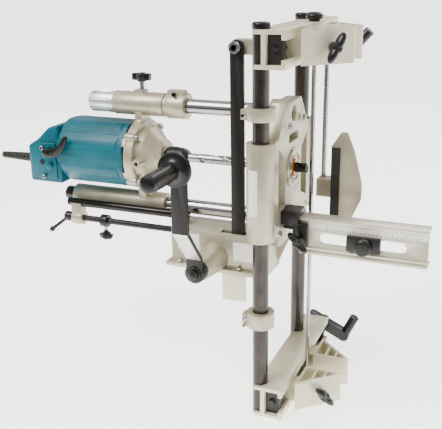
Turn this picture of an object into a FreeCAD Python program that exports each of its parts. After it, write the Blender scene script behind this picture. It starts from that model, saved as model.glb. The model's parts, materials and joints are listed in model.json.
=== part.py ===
"""Portable lock mortising rig: a motor on guide rods, carried by a carriage that runs on two
upright rails, with a self-centring door clamp at each end of the rails.

Frame, in millimetres: the origin is on the plane of the door's edge, on the spindle's mid-plane and
half way between the two clamps. +X points into the door, +Y to the back of the rig, +Z up.
"""
import os
import math
import FreeCAD
import Part
from FreeCAD import Vector

# ---------------------------------------------------------------- driving sizes
RAIL_DIAMETER = 25.0            # upright rails and guide rods are all 25 mm ground bar
RAIL_SPACING = 201.0            # centre to centre
FRAME_HEIGHT = 619.0            # over the outer faces of the two channels
CHANNEL_HEIGHT = 54.5
CHANNEL_DEPTH = 47.0            # along X
CHANNEL_OVERHANG_FRONT = 18.0   # beyond the front rail's centre
CHANNEL_OVERHANG_REAR = 66.0
CHANNEL_WALL = 6.0
CHANNEL_SLOT = 27.5             # mouth of the tee slot
SCREW_DIAMETER = 12.0
JAW_DEPTH = 62.0                # from its base to its tip
JAW_HEIGHT = 50.0
DOOR_THICKNESS = 46.0           # between the jaws at rest
SLEEVE_LENGTH = 153.0           # carriage sleeves on the rails
PLATE_THICKNESS = 24.0
SPINDLE_HEIGHT = 85.5
CUTTER_DIAMETER = 16.0
MOTOR_RADIUS = 59.0
MOTOR_LENGTH = 136.0            # the round part of the motor
PLUNGE = 148.0
CRANK_RADIUS = 40.0
LEVER_LENGTH = 183.0
BEAM_LENGTH = 198.0
BEAM_HEIGHT = 60.0
BEAM_DEPTH = 26.0
BEAM_TOP = 20.0
STOP_BAR_WIDTH = 9.0
STOP_BAR_THICKNESS = 5.0

# ---------------------------------------------------------------- clearances
RUN = 0.05                      # radial, shaft in a bore that slides or turns
GAP = 0.3                       # between moving faces that pass each other

# ---------------------------------------------------------------- places worked out from them
RAIL_RADIUS = RAIL_DIAMETER / 2
CHANNEL_BACK = 5.0              # the channels' rear face stands this far behind the rails' centres
RAIL_X = -(CHANNEL_DEPTH + STOP_BAR_THICKNESS - CHANNEL_BACK)
RAIL_Y = RAIL_SPACING / 2
HALF_HEIGHT = FRAME_HEIGHT / 2
CHANNEL_Z = HALF_HEIGHT - CHANNEL_HEIGHT / 2
CHANNEL_INNER = HALF_HEIGHT - CHANNEL_HEIGHT
CHANNEL_LEFT = RAIL_X - CHANNEL_BACK
CHANNEL_RIGHT = CHANNEL_LEFT + CHANNEL_DEPTH
CHANNEL_FRONT = -RAIL_Y - CHANNEL_OVERHANG_FRONT
CHANNEL_REAR = RAIL_Y + CHANNEL_OVERHANG_REAR
WEB_RIGHT = RAIL_X + RAIL_RADIUS + 0.5
WEB_LEFT = WEB_RIGHT - 7.0
LIP_LEFT = CHANNEL_RIGHT - CHANNEL_WALL
SCREW_X = (WEB_RIGHT + LIP_LEFT) / 2
SCREW_RADIUS = SCREW_DIAMETER / 2
JAW_BASE = 7.0
JAW_FACE = DOOR_THICKNESS / 2
SLEEVE_RADIUS = RAIL_RADIUS + 9.5
UPPER_SLEEVE_RADIUS = RAIL_RADIUS + 7.5
LOWER_SLEEVE_RADIUS = RAIL_RADIUS + 6.5
BUSH_RADIUS = RAIL_RADIUS + 2.5
ROD_OFFSET = MOTOR_RADIUS + LOWER_SLEEVE_RADIUS + 9.5   # guide rods above and below the spindle
UPPER_ROD_Z = SPINDLE_HEIGHT + ROD_OFFSET
LOWER_ROD_Z = SPINDLE_HEIGHT - ROD_OFFSET
SLEEVE_LOW = LOWER_ROD_Z - 5.5
SLEEVE_HIGH = SLEEVE_LOW + SLEEVE_LENGTH
HUB_HEIGHT = LOWER_ROD_Z - 62.5
PLATE_RIGHT = RAIL_X + PLATE_THICKNESS - CHANNEL_BACK
PLATE_LEFT = PLATE_RIGHT - PLATE_THICKNESS
ROD_BOSS_RADIUS = RAIL_RADIUS + 8.0
BEAM_BACK = -JAW_FACE - 0.5
BEAM_FRONT = BEAM_BACK - BEAM_DEPTH
CUTTER_RADIUS = CUTTER_DIAMETER / 2

X_AXIS = Vector(1, 0, 0)
Y_AXIS = Vector(0, 1, 0)
Z_AXIS = Vector(0, 0, 1)


# ---------------------------------------------------------------- shape helpers
def box(x0, x1, y0, y1, z0, z1):
    """A block between two corners."""
    return Part.makeBox(x1 - x0, y1 - y0, z1 - z0, Vector(x0, y0, z0))


def rod_x(radius, x0, x1, y, z):
    """A round bar along X."""
    return Part.makeCylinder(radius, x1 - x0, Vector(x0, y, z), X_AXIS)


def rod_y(radius, y0, y1, x, z):
    """A round bar along Y."""
    return Part.makeCylinder(radius, y1 - y0, Vector(x, y0, z), Y_AXIS)


def rod_z(radius, z0, z1, x, y):
    """A round bar along Z."""
    return Part.makeCylinder(radius, z1 - z0, Vector(x, y, z0), Z_AXIS)


def prism(points, direction):
    """A flat outline swept straight along a direction."""
    outline = Part.makePolygon([*points, points[0]])
    return Part.Face(outline).extrude(direction)


def turned_x(profile, y, z):
    """A solid of revolution about an axis along X, from (x, radius) pairs."""
    points = [Vector(x, y, z + radius) for x, radius in profile]
    points = [Vector(profile[0][0], y, z), *points, Vector(profile[-1][0], y, z)]
    outline = Part.makePolygon([*points, points[0]])
    return Part.Face(outline).revolve(Vector(0, y, z), X_AXIS, 360)


def turned_y(profile, x, z):
    """A solid of revolution about an axis along Y, from (y, radius) pairs."""
    points = [Vector(x, y, z + radius) for y, radius in profile]
    points = [Vector(x, profile[0][0], z), *points, Vector(x, profile[-1][0], z)]
    outline = Part.makePolygon([*points, points[0]])
    return Part.Face(outline).revolve(Vector(x, 0, z), Y_AXIS, 360)


def turned_z(profile, x, y):
    """A solid of revolution about an axis along Z, from (z, radius) pairs."""
    points = [Vector(x + radius, y, z) for z, radius in profile]
    points = [Vector(x, y, profile[0][0]), *points, Vector(x, y, profile[-1][0])]
    outline = Part.makePolygon([*points, points[0]])
    return Part.Face(outline).revolve(Vector(x, y, 0), Z_AXIS, 360)


def join(first, *others):
    """One solid from pieces that overlap."""
    return first.multiFuse(list(others)).removeSplitter()


def mirror_z(shape):
    """The same shape at the other end of the rig."""
    return shape.mirror(Vector(0, 0, 0), Z_AXIS)


def mirror_y(shape):
    """The same shape on the other side of the spindle's plane."""
    return shape.mirror(Vector(0, 0, 0), Y_AXIS)


PIECES = {}


def keep(name, *solids):
    """Record a sub-part under its name."""
    PIECES[name] = solids[0] if len(solids) == 1 else Part.makeCompound(list(solids))


# ---------------------------------------------------------------- frame: rails and channels
def rails():
    """Two upright rails with a plastic plug on each upper end."""
    cap_height = 9.5
    caps = []
    for name, y in (("front_rail", -RAIL_Y), ("rear_rail", RAIL_Y)):
        keep(name, rod_z(RAIL_RADIUS, -HALF_HEIGHT, HALF_HEIGHT, RAIL_X, y))
        rim = RAIL_RADIUS + 0.7
        top = HALF_HEIGHT + cap_height
        profile = [(HALF_HEIGHT, rim), (top - 2.0, rim), (top, rim - 2.2)]
        caps.append(turned_z(profile, RAIL_X, y))
    keep("rail_caps", *caps)


def channel():
    """The upper channel: a web, two flanges and a tee slot open to the door's side."""
    low = CHANNEL_INNER
    high = HALF_HEIGHT
    lip = (CHANNEL_HEIGHT - CHANNEL_SLOT) / 2
    length = Vector(0, CHANNEL_REAR - CHANNEL_FRONT, 0)
    outline = [
        (CHANNEL_LEFT, low), (CHANNEL_RIGHT, low), (CHANNEL_RIGHT, low + lip), (LIP_LEFT, low + lip),
        (LIP_LEFT, low + CHANNEL_WALL), (WEB_RIGHT, low + CHANNEL_WALL), (WEB_RIGHT, high - CHANNEL_WALL),
        (LIP_LEFT, high - CHANNEL_WALL), (LIP_LEFT, high - lip), (CHANNEL_RIGHT, high - lip),
        (CHANNEL_RIGHT, high), (CHANNEL_LEFT, high), (CHANNEL_LEFT, high - CHANNEL_WALL),
        (WEB_LEFT, high - CHANNEL_WALL), (WEB_LEFT, low + CHANNEL_WALL), (CHANNEL_LEFT, low + CHANNEL_WALL),
    ]
    body = prism([Vector(x, CHANNEL_FRONT, z) for x, z in outline], length)
    for y in (-RAIL_Y, RAIL_Y):
        body = body.cut(rod_z(RAIL_RADIUS, low - 1, high + 1, RAIL_X, y))
    return body


def clamps():
    """Both end clamps: channel, right- and left-handed screw, bearings, crank and two jaws."""
    bearing_length = 12.0
    collar_length = 4.0
    bearings = []
    low = CHANNEL_INNER + CHANNEL_WALL
    high = HALF_HEIGHT - CHANNEL_WALL
    for end, flip in (("top", False), ("bottom", True)):
        def place(shape, flip=flip):
            return mirror_z(shape) if flip else shape
        keep(end + "_channel", place(channel()))
        for y0 in (CHANNEL_FRONT + 8.5, CHANNEL_REAR - bearing_length):
            block = box(WEB_RIGHT, LIP_LEFT, y0, y0 + bearing_length, low, high)
            block = block.cut(rod_y(SCREW_RADIUS + RUN, y0 - 1, y0 + bearing_length + 1, SCREW_X, CHANNEL_Z))
            bearings.append(place(block))
        screw_end = CHANNEL_REAR + 36.0
        inner_face = CHANNEL_REAR - bearing_length - GAP
        screw = join(
            rod_y(SCREW_RADIUS, CHANNEL_FRONT + 3.0, screw_end, SCREW_X, CHANNEL_Z),
            rod_y(SCREW_RADIUS + 4.0, inner_face - collar_length, inner_face, SCREW_X, CHANNEL_Z),
        )
        keep(end + "_screw", place(screw))
        jaw = place(front_jaw())
        keep(end + "_front_jaw", jaw)
        keep(end + "_rear_jaw", mirror_y(jaw))
        keep(end + "_front_wing_knob", place(jaw_knob()))
        turn = -25.0 if flip else -42.0
        sign = -1 if flip else 1
        keep(end + "_crank", crank(turn, sign * CHANNEL_Z, screw_end))
    keep("screw_bearings", *bearings)


JAW_HALF_HEIGHT = JAW_HEIGHT / 2
JAW_NOSE = 5.0
JAW_FOOT_FRONT = -JAW_FACE - 52.0
JAW_FOOT_REAR = -JAW_FACE - 17.0


def front_jaw():
    """A wedge-shaped jaw with hollow cells and a foot that runs in the tee slot on the screw."""
    tip = JAW_BASE + JAW_DEPTH
    wall = 4.0
    z0 = CHANNEL_Z - JAW_HALF_HEIGHT
    up = Vector(0, 0, JAW_HEIGHT)
    outline = [(JAW_BASE, -JAW_FACE), (tip, -JAW_FACE), (tip, -JAW_FACE - JAW_NOSE),
               (JAW_BASE, -JAW_FACE - JAW_DEPTH)]
    jaw = prism([Vector(x, y, z0) for x, y in outline], up)
    # three cells between the clamping face, the slanted plate and the base
    inner = JAW_BASE + wall
    face = -JAW_FACE - wall
    slope = (JAW_DEPTH - JAW_NOSE) / JAW_DEPTH
    ribs = (inner, inner + 17.0, inner + 34.0, tip - 8.0)
    for left, right in zip(ribs[:-1], ribs[1:]):
        x0 = left if left == inner else left + wall / 2
        x1 = right - wall / 2
        y_at = [-JAW_FACE - JAW_DEPTH + slope * (x - JAW_BASE) + 1.5 * wall for x in (x0, x1)]
        cell = [(x0, face), (x1, face), (x1, min(y_at[1], face - 1)), (x0, y_at[0])]
        jaw = jaw.cut(prism([Vector(x, y, z0 - 1) for x, y in cell], up + Vector(0, 0, 2)))
    neck_half = CHANNEL_SLOT / 2 - GAP
    head_half = CHANNEL_HEIGHT / 2 - CHANNEL_WALL - GAP
    neck = box(LIP_LEFT - GAP, JAW_BASE, JAW_FOOT_FRONT, JAW_FOOT_REAR,
               CHANNEL_Z - neck_half, CHANNEL_Z + neck_half)
    head = box(WEB_RIGHT + GAP, LIP_LEFT - GAP, JAW_FOOT_FRONT, JAW_FOOT_REAR,
               CHANNEL_Z - head_half, CHANNEL_Z + head_half)
    jaw = join(jaw, neck, head)
    return jaw.cut(rod_y(SCREW_RADIUS + RUN, JAW_FOOT_FRONT - 1, JAW_FOOT_REAR + 1, SCREW_X, CHANNEL_Z))


def wing_knob(length, stem, wing, thickness):
    """A two-winged knob on its stud, built along +X from the origin."""
    hub = turned_x([(stem, 8.0), (stem + length * 0.6, 9.0), (stem + length, 6.5)], 0, 0)
    wings = box(stem + 2.0, stem + length, -thickness / 2, thickness / 2, -wing, wing)
    trim = rod_y(wing * 1.05, -thickness, thickness, stem + 1.0, 0)
    return join(rod_x(4.0, 0, stem + 1.0, 0, 0), hub, wings.common(trim))


def jaw_knob():
    """The wing knob on the front jaw's slanted plate, square to it."""
    knob = wing_knob(20.0, 6.0, 24.0, 9.0)
    slope = math.atan2(JAW_DEPTH - JAW_NOSE, JAW_DEPTH)
    along = 0.56
    place = Vector(JAW_BASE + JAW_DEPTH * along,
                   -JAW_FACE - JAW_DEPTH + (JAW_DEPTH - JAW_NOSE) * along, CHANNEL_Z)
    knob.rotate(Vector(0, 0, 0), X_AXIS, 35)
    knob.rotate(Vector(0, 0, 0), Z_AXIS, math.degrees(slope) - 90)
    knob.translate(place)
    return knob


def crank(turn, height, screw_end):
    """A crank lever on the screw's rear end, with its grip in the plane of the arm."""
    thickness = 18.0
    inner = screw_end + 3.0 - thickness
    reach = 48.0
    tail = 24.0
    arm = box(-tail, reach, inner, inner + thickness, -10.0, 10.0)
    arm = join(
        arm,
        rod_y(12.5, CHANNEL_REAR + GAP, inner + thickness, 0, 0),
        rod_y(10.0, inner, inner + thickness, -tail, 0),
        rod_y(10.0, inner, inner + thickness, reach, 0),
        rod_z(8.8, 0, 46.0, reach, inner + thickness / 2),
    )
    arm = arm.cut(rod_y(SCREW_RADIUS, CHANNEL_REAR, screw_end, 0, 0))
    arm.rotate(Vector(0, 0, 0), Y_AXIS, -turn)
    arm.translate(Vector(SCREW_X, 0, height))
    return arm


# ---------------------------------------------------------------- frame: stops and rear pad
HANGER_X = 9.0
HANGER_Y = 50.0
HANGER_RADIUS = 4.0
HANGER_TOP = CHANNEL_INNER
PAD_BLOCK_LOW = 31.0
PLATE_EDGE = 27.0
PAD_BLOCK_HIGH = 60.0


def stops():
    """The door-edge stop bar, the hanging rod with its pressure plate, and the rail collars."""
    bar_end = HALF_HEIGHT - 6.0
    bar_y = RAIL_RADIUS + 1.0
    keep("stop_bar", box(-STOP_BAR_THICKNESS, 0, bar_y, bar_y + STOP_BAR_WIDTH, -bar_end, bar_end))
    bracket_low = HANGER_TOP - 10.0
    bracket = box(CHANNEL_LEFT + 8.0, HANGER_X + 8.0, HANGER_Y - 9.0, HANGER_Y + 9.0, bracket_low,
                  HANGER_TOP - GAP)
    pad = box(CHANNEL_LEFT + 8.0, CHANNEL_RIGHT, HANGER_Y - 9.0, HANGER_Y + 9.0, bracket_low, HANGER_TOP)
    bracket = join(bracket, pad).cut(rod_z(HANGER_RADIUS, bracket_low - 1, HANGER_TOP, HANGER_X, HANGER_Y))
    keep("hanger_bracket", bracket)
    keep("hanger_rod", rod_z(HANGER_RADIUS, PAD_BLOCK_LOW, HANGER_TOP - GAP, HANGER_X, HANGER_Y))
    knob_x = CHANNEL_RIGHT - 8.0
    dome = [(HALF_HEIGHT, 9.0), (HALF_HEIGHT + 3.0, 9.0), (HALF_HEIGHT + 4.0, 13.5),
            (HALF_HEIGHT + 10.0, 13.5), (HALF_HEIGHT + 14.0, 9.0)]
    keep("hanger_knob", turned_z(dome, knob_x, HANGER_Y))
    block = box(HANGER_X - 7.0, PLATE_EDGE + 15.0, JAW_FACE + 8.0, HANGER_Y + 8.0, PAD_BLOCK_LOW,
                PAD_BLOCK_HIGH)
    block = block.cut(rod_z(HANGER_RADIUS + RUN, PAD_BLOCK_LOW - 1, PAD_BLOCK_HIGH + 1, HANGER_X, HANGER_Y))
    front = JAW_FACE + 2.5
    back = JAW_FACE + 8.5
    outline = [(0, -14.0), (17.0, -14.0), (33.0, -8.0), (51.0, 34.0), (51.0, 60.0), (37.0, 112.0),
               (25.0, 141.0), (15.0, 141.0), (0, 118.0)]
    plate = prism([Vector(PLATE_EDGE + x, front, z) for x, z in outline], Vector(0, back - front, 0))
    keep("pressure_plate", join(plate, block))
    keep("pressure_pad", box(PLATE_EDGE + 1.0, PLATE_EDGE + 15.0, JAW_FACE + 0.5, front, -10.0, 116.0))


EAR_X = RAIL_X - SLEEVE_RADIUS + 2.0    # the collars' pinch screws
EAR_REACH = SLEEVE_RADIUS - 7.0


def rail_collar(z0, z1):
    """A split collar round the front rail with two clamping ears on its left side."""
    y = -RAIL_Y
    ring = join(
        rod_z(SLEEVE_RADIUS, z0, z1, RAIL_X, y),
        box(EAR_X - 6.0, EAR_X + 8.0, y - EAR_REACH, y + 1.0, z0 + 2.0, z1 - 2.0),
    )
    ring = ring.cut(rod_z(RAIL_RADIUS, z0 - 1, z1 + 1, RAIL_X, y))
    return ring.cut(box(EAR_X - 7.0, RAIL_X - 5.0, y - 8.0, y - 6.0, z0 - 1, z1 + 1))


UPPER_COLLAR_LOW = SLEEVE_HIGH + 34.0
UPPER_COLLAR_HIGH = UPPER_COLLAR_LOW + 19.0
LOWER_COLLAR_HIGH = SLEEVE_LOW - 120.0
LOWER_COLLAR_LOW = LOWER_COLLAR_HIGH - 25.0


def collars():
    """Two collars on the front rail, with the screws that pinch them."""
    keep("upper_rail_collar", rail_collar(UPPER_COLLAR_LOW, UPPER_COLLAR_HIGH))
    keep("lower_rail_collar", rail_collar(LOWER_COLLAR_LOW, LOWER_COLLAR_HIGH))
    upper = (UPPER_COLLAR_LOW + UPPER_COLLAR_HIGH) / 2
    lower = (LOWER_COLLAR_LOW + LOWER_COLLAR_HIGH) / 2
    heads = [rod_y(3.5, -RAIL_Y - EAR_REACH - 4.0, -RAIL_Y - EAR_REACH, EAR_X, z)
             for z in (upper, lower - 6.0, lower + 6.0)]
    return heads


# ---------------------------------------------------------------- link and hand lever
HUB_X = RAIL_X - 98.0
LINK_PIN_X = HUB_X + CRANK_RADIUS
LINK_FRONT = 0.25 - RAIL_Y / 2   # the link stands half way between the front rail and the spindle
LINK_THICKNESS = 6.0
LINK_WIDTH = 22.0
LINK_PIVOT_Z = CHANNEL_Z - 4.75
LINK_REAR = LINK_FRONT + LINK_THICKNESS
PIN_RADIUS = 5.0
PIN_LEFT_TRAVEL = 0.475 * CRANK_RADIUS      # the pin swings this far back at the lever's limits
SLOT_HALF_HEIGHT = PIN_RADIUS + 0.07 * CRANK_RADIUS
FOOT_LOW = HUB_HEIGHT - 78.0
FOOT_HIGH = HUB_HEIGHT + 16.0
FOOT_LEFT = LINK_PIN_X - PIN_LEFT_TRAVEL - PIN_RADIUS - 5.0
FOOT_RIGHT = LINK_PIN_X + PIN_RADIUS + 7.0


def link():
    """The link bar from the upper channel, with the slotted foot that the crank pin works in."""
    half = LINK_WIDTH / 2
    bar = box(LINK_PIN_X - half, LINK_PIN_X + half, LINK_FRONT, LINK_REAR, FOOT_HIGH - 1.0, LINK_PIVOT_Z)
    head = rod_y(half, LINK_FRONT, LINK_REAR, LINK_PIN_X, LINK_PIVOT_Z)
    foot = box(FOOT_LEFT, FOOT_RIGHT, LINK_FRONT, LINK_REAR, FOOT_LOW, FOOT_HIGH)
    slot = box(LINK_PIN_X - PIN_LEFT_TRAVEL - PIN_RADIUS, LINK_PIN_X + PIN_RADIUS + 1.0, LINK_FRONT - 1,
               LINK_REAR + 1, HUB_HEIGHT - SLOT_HALF_HEIGHT, HUB_HEIGHT + SLOT_HALF_HEIGHT)
    bolt_radius = 5.0
    bar = join(bar, head, foot).cut(slot)
    bar = bar.cut(rod_y(bolt_radius, LINK_FRONT - 1, LINK_REAR + 1, LINK_PIN_X, LINK_PIVOT_Z))
    keep("link_bar", bar)
    lug_thickness = 10.0
    lug = join(
        box(LINK_PIN_X, CHANNEL_LEFT, LINK_REAR, LINK_REAR + lug_thickness, LINK_PIVOT_Z - 12.0,
            LINK_PIVOT_Z + 12.0),
        rod_y(12.0, LINK_REAR, LINK_REAR + lug_thickness, LINK_PIN_X, LINK_PIVOT_Z),
        box(CHANNEL_LEFT - 6.0, CHANNEL_LEFT, LINK_REAR, LINK_REAR + 34.0, LINK_PIVOT_Z - 20.0,
            LINK_PIVOT_Z + 22.0),
    )
    lug = lug.cut(rod_y(bolt_radius, LINK_REAR - 1, LINK_REAR + lug_thickness + 1, LINK_PIN_X, LINK_PIVOT_Z))
    keep("link_lug", lug)
    bolt = join(
        rod_y(bolt_radius, LINK_FRONT - 2.0, LINK_REAR + lug_thickness, LINK_PIN_X, LINK_PIVOT_Z),
        rod_y(9.0, LINK_FRONT - 7.0, LINK_FRONT, LINK_PIN_X, LINK_PIVOT_Z),
    )
    return bolt


HOUSING_FRONT = LINK_FRONT - 8.5
HOUSING_REAR = 8.0
HOUSING_LEFT = RAIL_X - 175.0
HOUSING_RIGHT = PLATE_LEFT
HOUSING_TOP = LOWER_ROD_Z - LOWER_SLEEVE_RADIUS - 1.0
HOUSING_LOW = HUB_HEIGHT - 23.5
HOUSING_WALL = 5.0
SHAFT_RADIUS = 8.0
ARM_FRONT = LINK_REAR + 1.0
ARM_REAR = ARM_FRONT + 6.0
SHAFT_REAR = ARM_REAR + 14.0
CONE_LENGTH = 60.0
CONE_FRONT = HOUSING_FRONT - CONE_LENGTH
ARM_THICKNESS = 6.0
LEVER_JOGGLE = 45.0             # how far the upper part of the arm stands in front of the lower part
JOGGLE_LOW = 26.0               # where the slanted stretch starts above the hub, and how tall it is
JOGGLE_HEIGHT = 56.0
LEVER_WIDTH = 26.0


def housing():
    """The crank housing: a cast box, open below, with a slot that the link passes through."""
    body = box(HOUSING_LEFT, HOUSING_RIGHT, HOUSING_FRONT, HOUSING_REAR, HOUSING_LOW, HOUSING_TOP)
    wall = HOUSING_WALL
    hollow = box(HOUSING_LEFT + wall, HOUSING_RIGHT - wall, HOUSING_FRONT + wall, HOUSING_REAR - wall,
                 HOUSING_LOW - 1, HOUSING_TOP - wall)
    flange = box(HOUSING_LEFT - 8.0, HOUSING_RIGHT, HOUSING_FRONT - 9.0, HOUSING_REAR, HOUSING_LOW,
                 HOUSING_LOW + 7.0)
    web_front = ARM_REAR + 2.0
    web = box(HOUSING_LEFT + 1.0, HOUSING_RIGHT - 1.0, web_front, web_front + 8.0, HOUSING_LOW + 1.0,
              HOUSING_TOP - 1.0)
    body = join(join(body, flange).cut(hollow), web)
    left = FOOT_LEFT - 2.0
    right = FOOT_RIGHT + 2.0
    way = box(left, right, LINK_FRONT - 2.0, ARM_REAR + 1.0, HOUSING_LOW - 1, HOUSING_TOP + 1)
    bore = rod_y(SHAFT_RADIUS + RUN, HOUSING_FRONT - 1, web_front + 9.0, HUB_X, HUB_HEIGHT)
    lug_x = HOUSING_LEFT + 10.0
    lug = box(lug_x - 6.0, lug_x + 6.0, TIE_ROD_Y - 11.0, TIE_ROD_Y + 10.0, HOUSING_TOP - 1.0,
              TIE_ROD_Z + 6.0)
    body = join(body, lug).cut(way).cut(bore)
    body = body.cut(rod_x(TIE_ROD_RADIUS, lug_x - 7.0, HOUSING_RIGHT, TIE_ROD_Y, TIE_ROD_Z))
    body = body.cut(rod_x(STOP_SCREW_RADIUS + RUN, HOUSING_LEFT - 9.0, HOUSING_LEFT + wall + 1.0, TIE_ROD_Y,
                          STOP_SCREW_Z))
    cone = turned_y([(CONE_FRONT, 19.0), (HOUSING_FRONT + 1.0, 26.0)], HUB_X, HUB_HEIGHT)
    keep("crank_housing", join(body,
                               cone).cut(rod_y(SHAFT_RADIUS + RUN, CONE_FRONT - 1, 0, HUB_X, HUB_HEIGHT)))


def lever():
    """The hand lever: crank shaft, black collar, joggled arm, and a grip that turns on its pin."""
    ring_rear = CONE_FRONT - GAP
    shaft_front = ring_rear - 12.0 - ARM_THICKNESS - 6.0
    shaft = join(
        rod_y(SHAFT_RADIUS, shaft_front, SHAFT_REAR, HUB_X, HUB_HEIGHT),
        box(HUB_X, LINK_PIN_X, ARM_FRONT, ARM_REAR, HUB_HEIGHT - 9.0, HUB_HEIGHT + 9.0),
        rod_y(7.5, ARM_FRONT, ARM_REAR, LINK_PIN_X, HUB_HEIGHT),
        rod_y(12.0, ARM_FRONT, ARM_REAR, HUB_X, HUB_HEIGHT),
        rod_y(PIN_RADIUS, LINK_FRONT + 1.0, ARM_REAR, LINK_PIN_X, HUB_HEIGHT),
        rod_y(17.0, ring_rear - 12.0, ring_rear, HUB_X, HUB_HEIGHT),
    )
    keep("crank_shaft", shaft)
    half = LEVER_WIDTH / 2
    lower_rear = ring_rear - 12.0
    lower_front = lower_rear - ARM_THICKNESS
    upper_rear = lower_rear - LEVER_JOGGLE
    upper_front = upper_rear - ARM_THICKNESS
    bend_low = HUB_HEIGHT + JOGGLE_LOW
    bend_high = bend_low + JOGGLE_HEIGHT
    grip_z = HUB_HEIGHT + LEVER_LENGTH
    side = [(lower_rear, HUB_HEIGHT), (lower_rear, bend_low + 1.0), (upper_rear, bend_high + 1.0),
            (upper_rear, grip_z), (upper_front, grip_z), (upper_front, bend_high - 1.0),
            (lower_front, bend_low - 1.0), (lower_front, HUB_HEIGHT)]
    arm = prism([Vector(HUB_X - half, y, z) for y, z in side], Vector(LEVER_WIDTH, 0, 0))
    arm = join(
        arm,
        rod_y(half + 3.0, lower_front, lower_rear, HUB_X, HUB_HEIGHT),
        rod_y(half, upper_front, upper_rear, HUB_X, grip_z),
    )
    arm = arm.cut(rod_y(SHAFT_RADIUS, lower_front - 1, lower_rear + 1, HUB_X, HUB_HEIGHT))
    pin_radius = 5.0
    grip_length = 92.0
    grip_rear = upper_front - 3.0
    pin = rod_y(pin_radius, grip_rear - grip_length + 8.0, upper_rear, HUB_X, grip_z)
    keep("lever_arm", join(arm, pin))
    profile = [(grip_rear - grip_length, 10.0), (grip_rear - grip_length + 4, 12.5), (grip_rear - 12.0, 13.5),
               (grip_rear - 10.0, 26.5), (grip_rear - 4.0, 26.5), (grip_rear, 20.0)]
    grip = turned_y(profile, HUB_X, grip_z)
    keep("lever_grip", grip.cut(rod_y(pin_radius + RUN, grip_rear - grip_length + 7.0, grip_rear + 1, HUB_X,
                                      grip_z)))


# ---------------------------------------------------------------- carriage
BUSH_LENGTH = 25.0
GUIDE_RADIUS = CUTTER_RADIUS + 7.0
RING_RADIUS = GUIDE_RADIUS + 17.0


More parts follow.
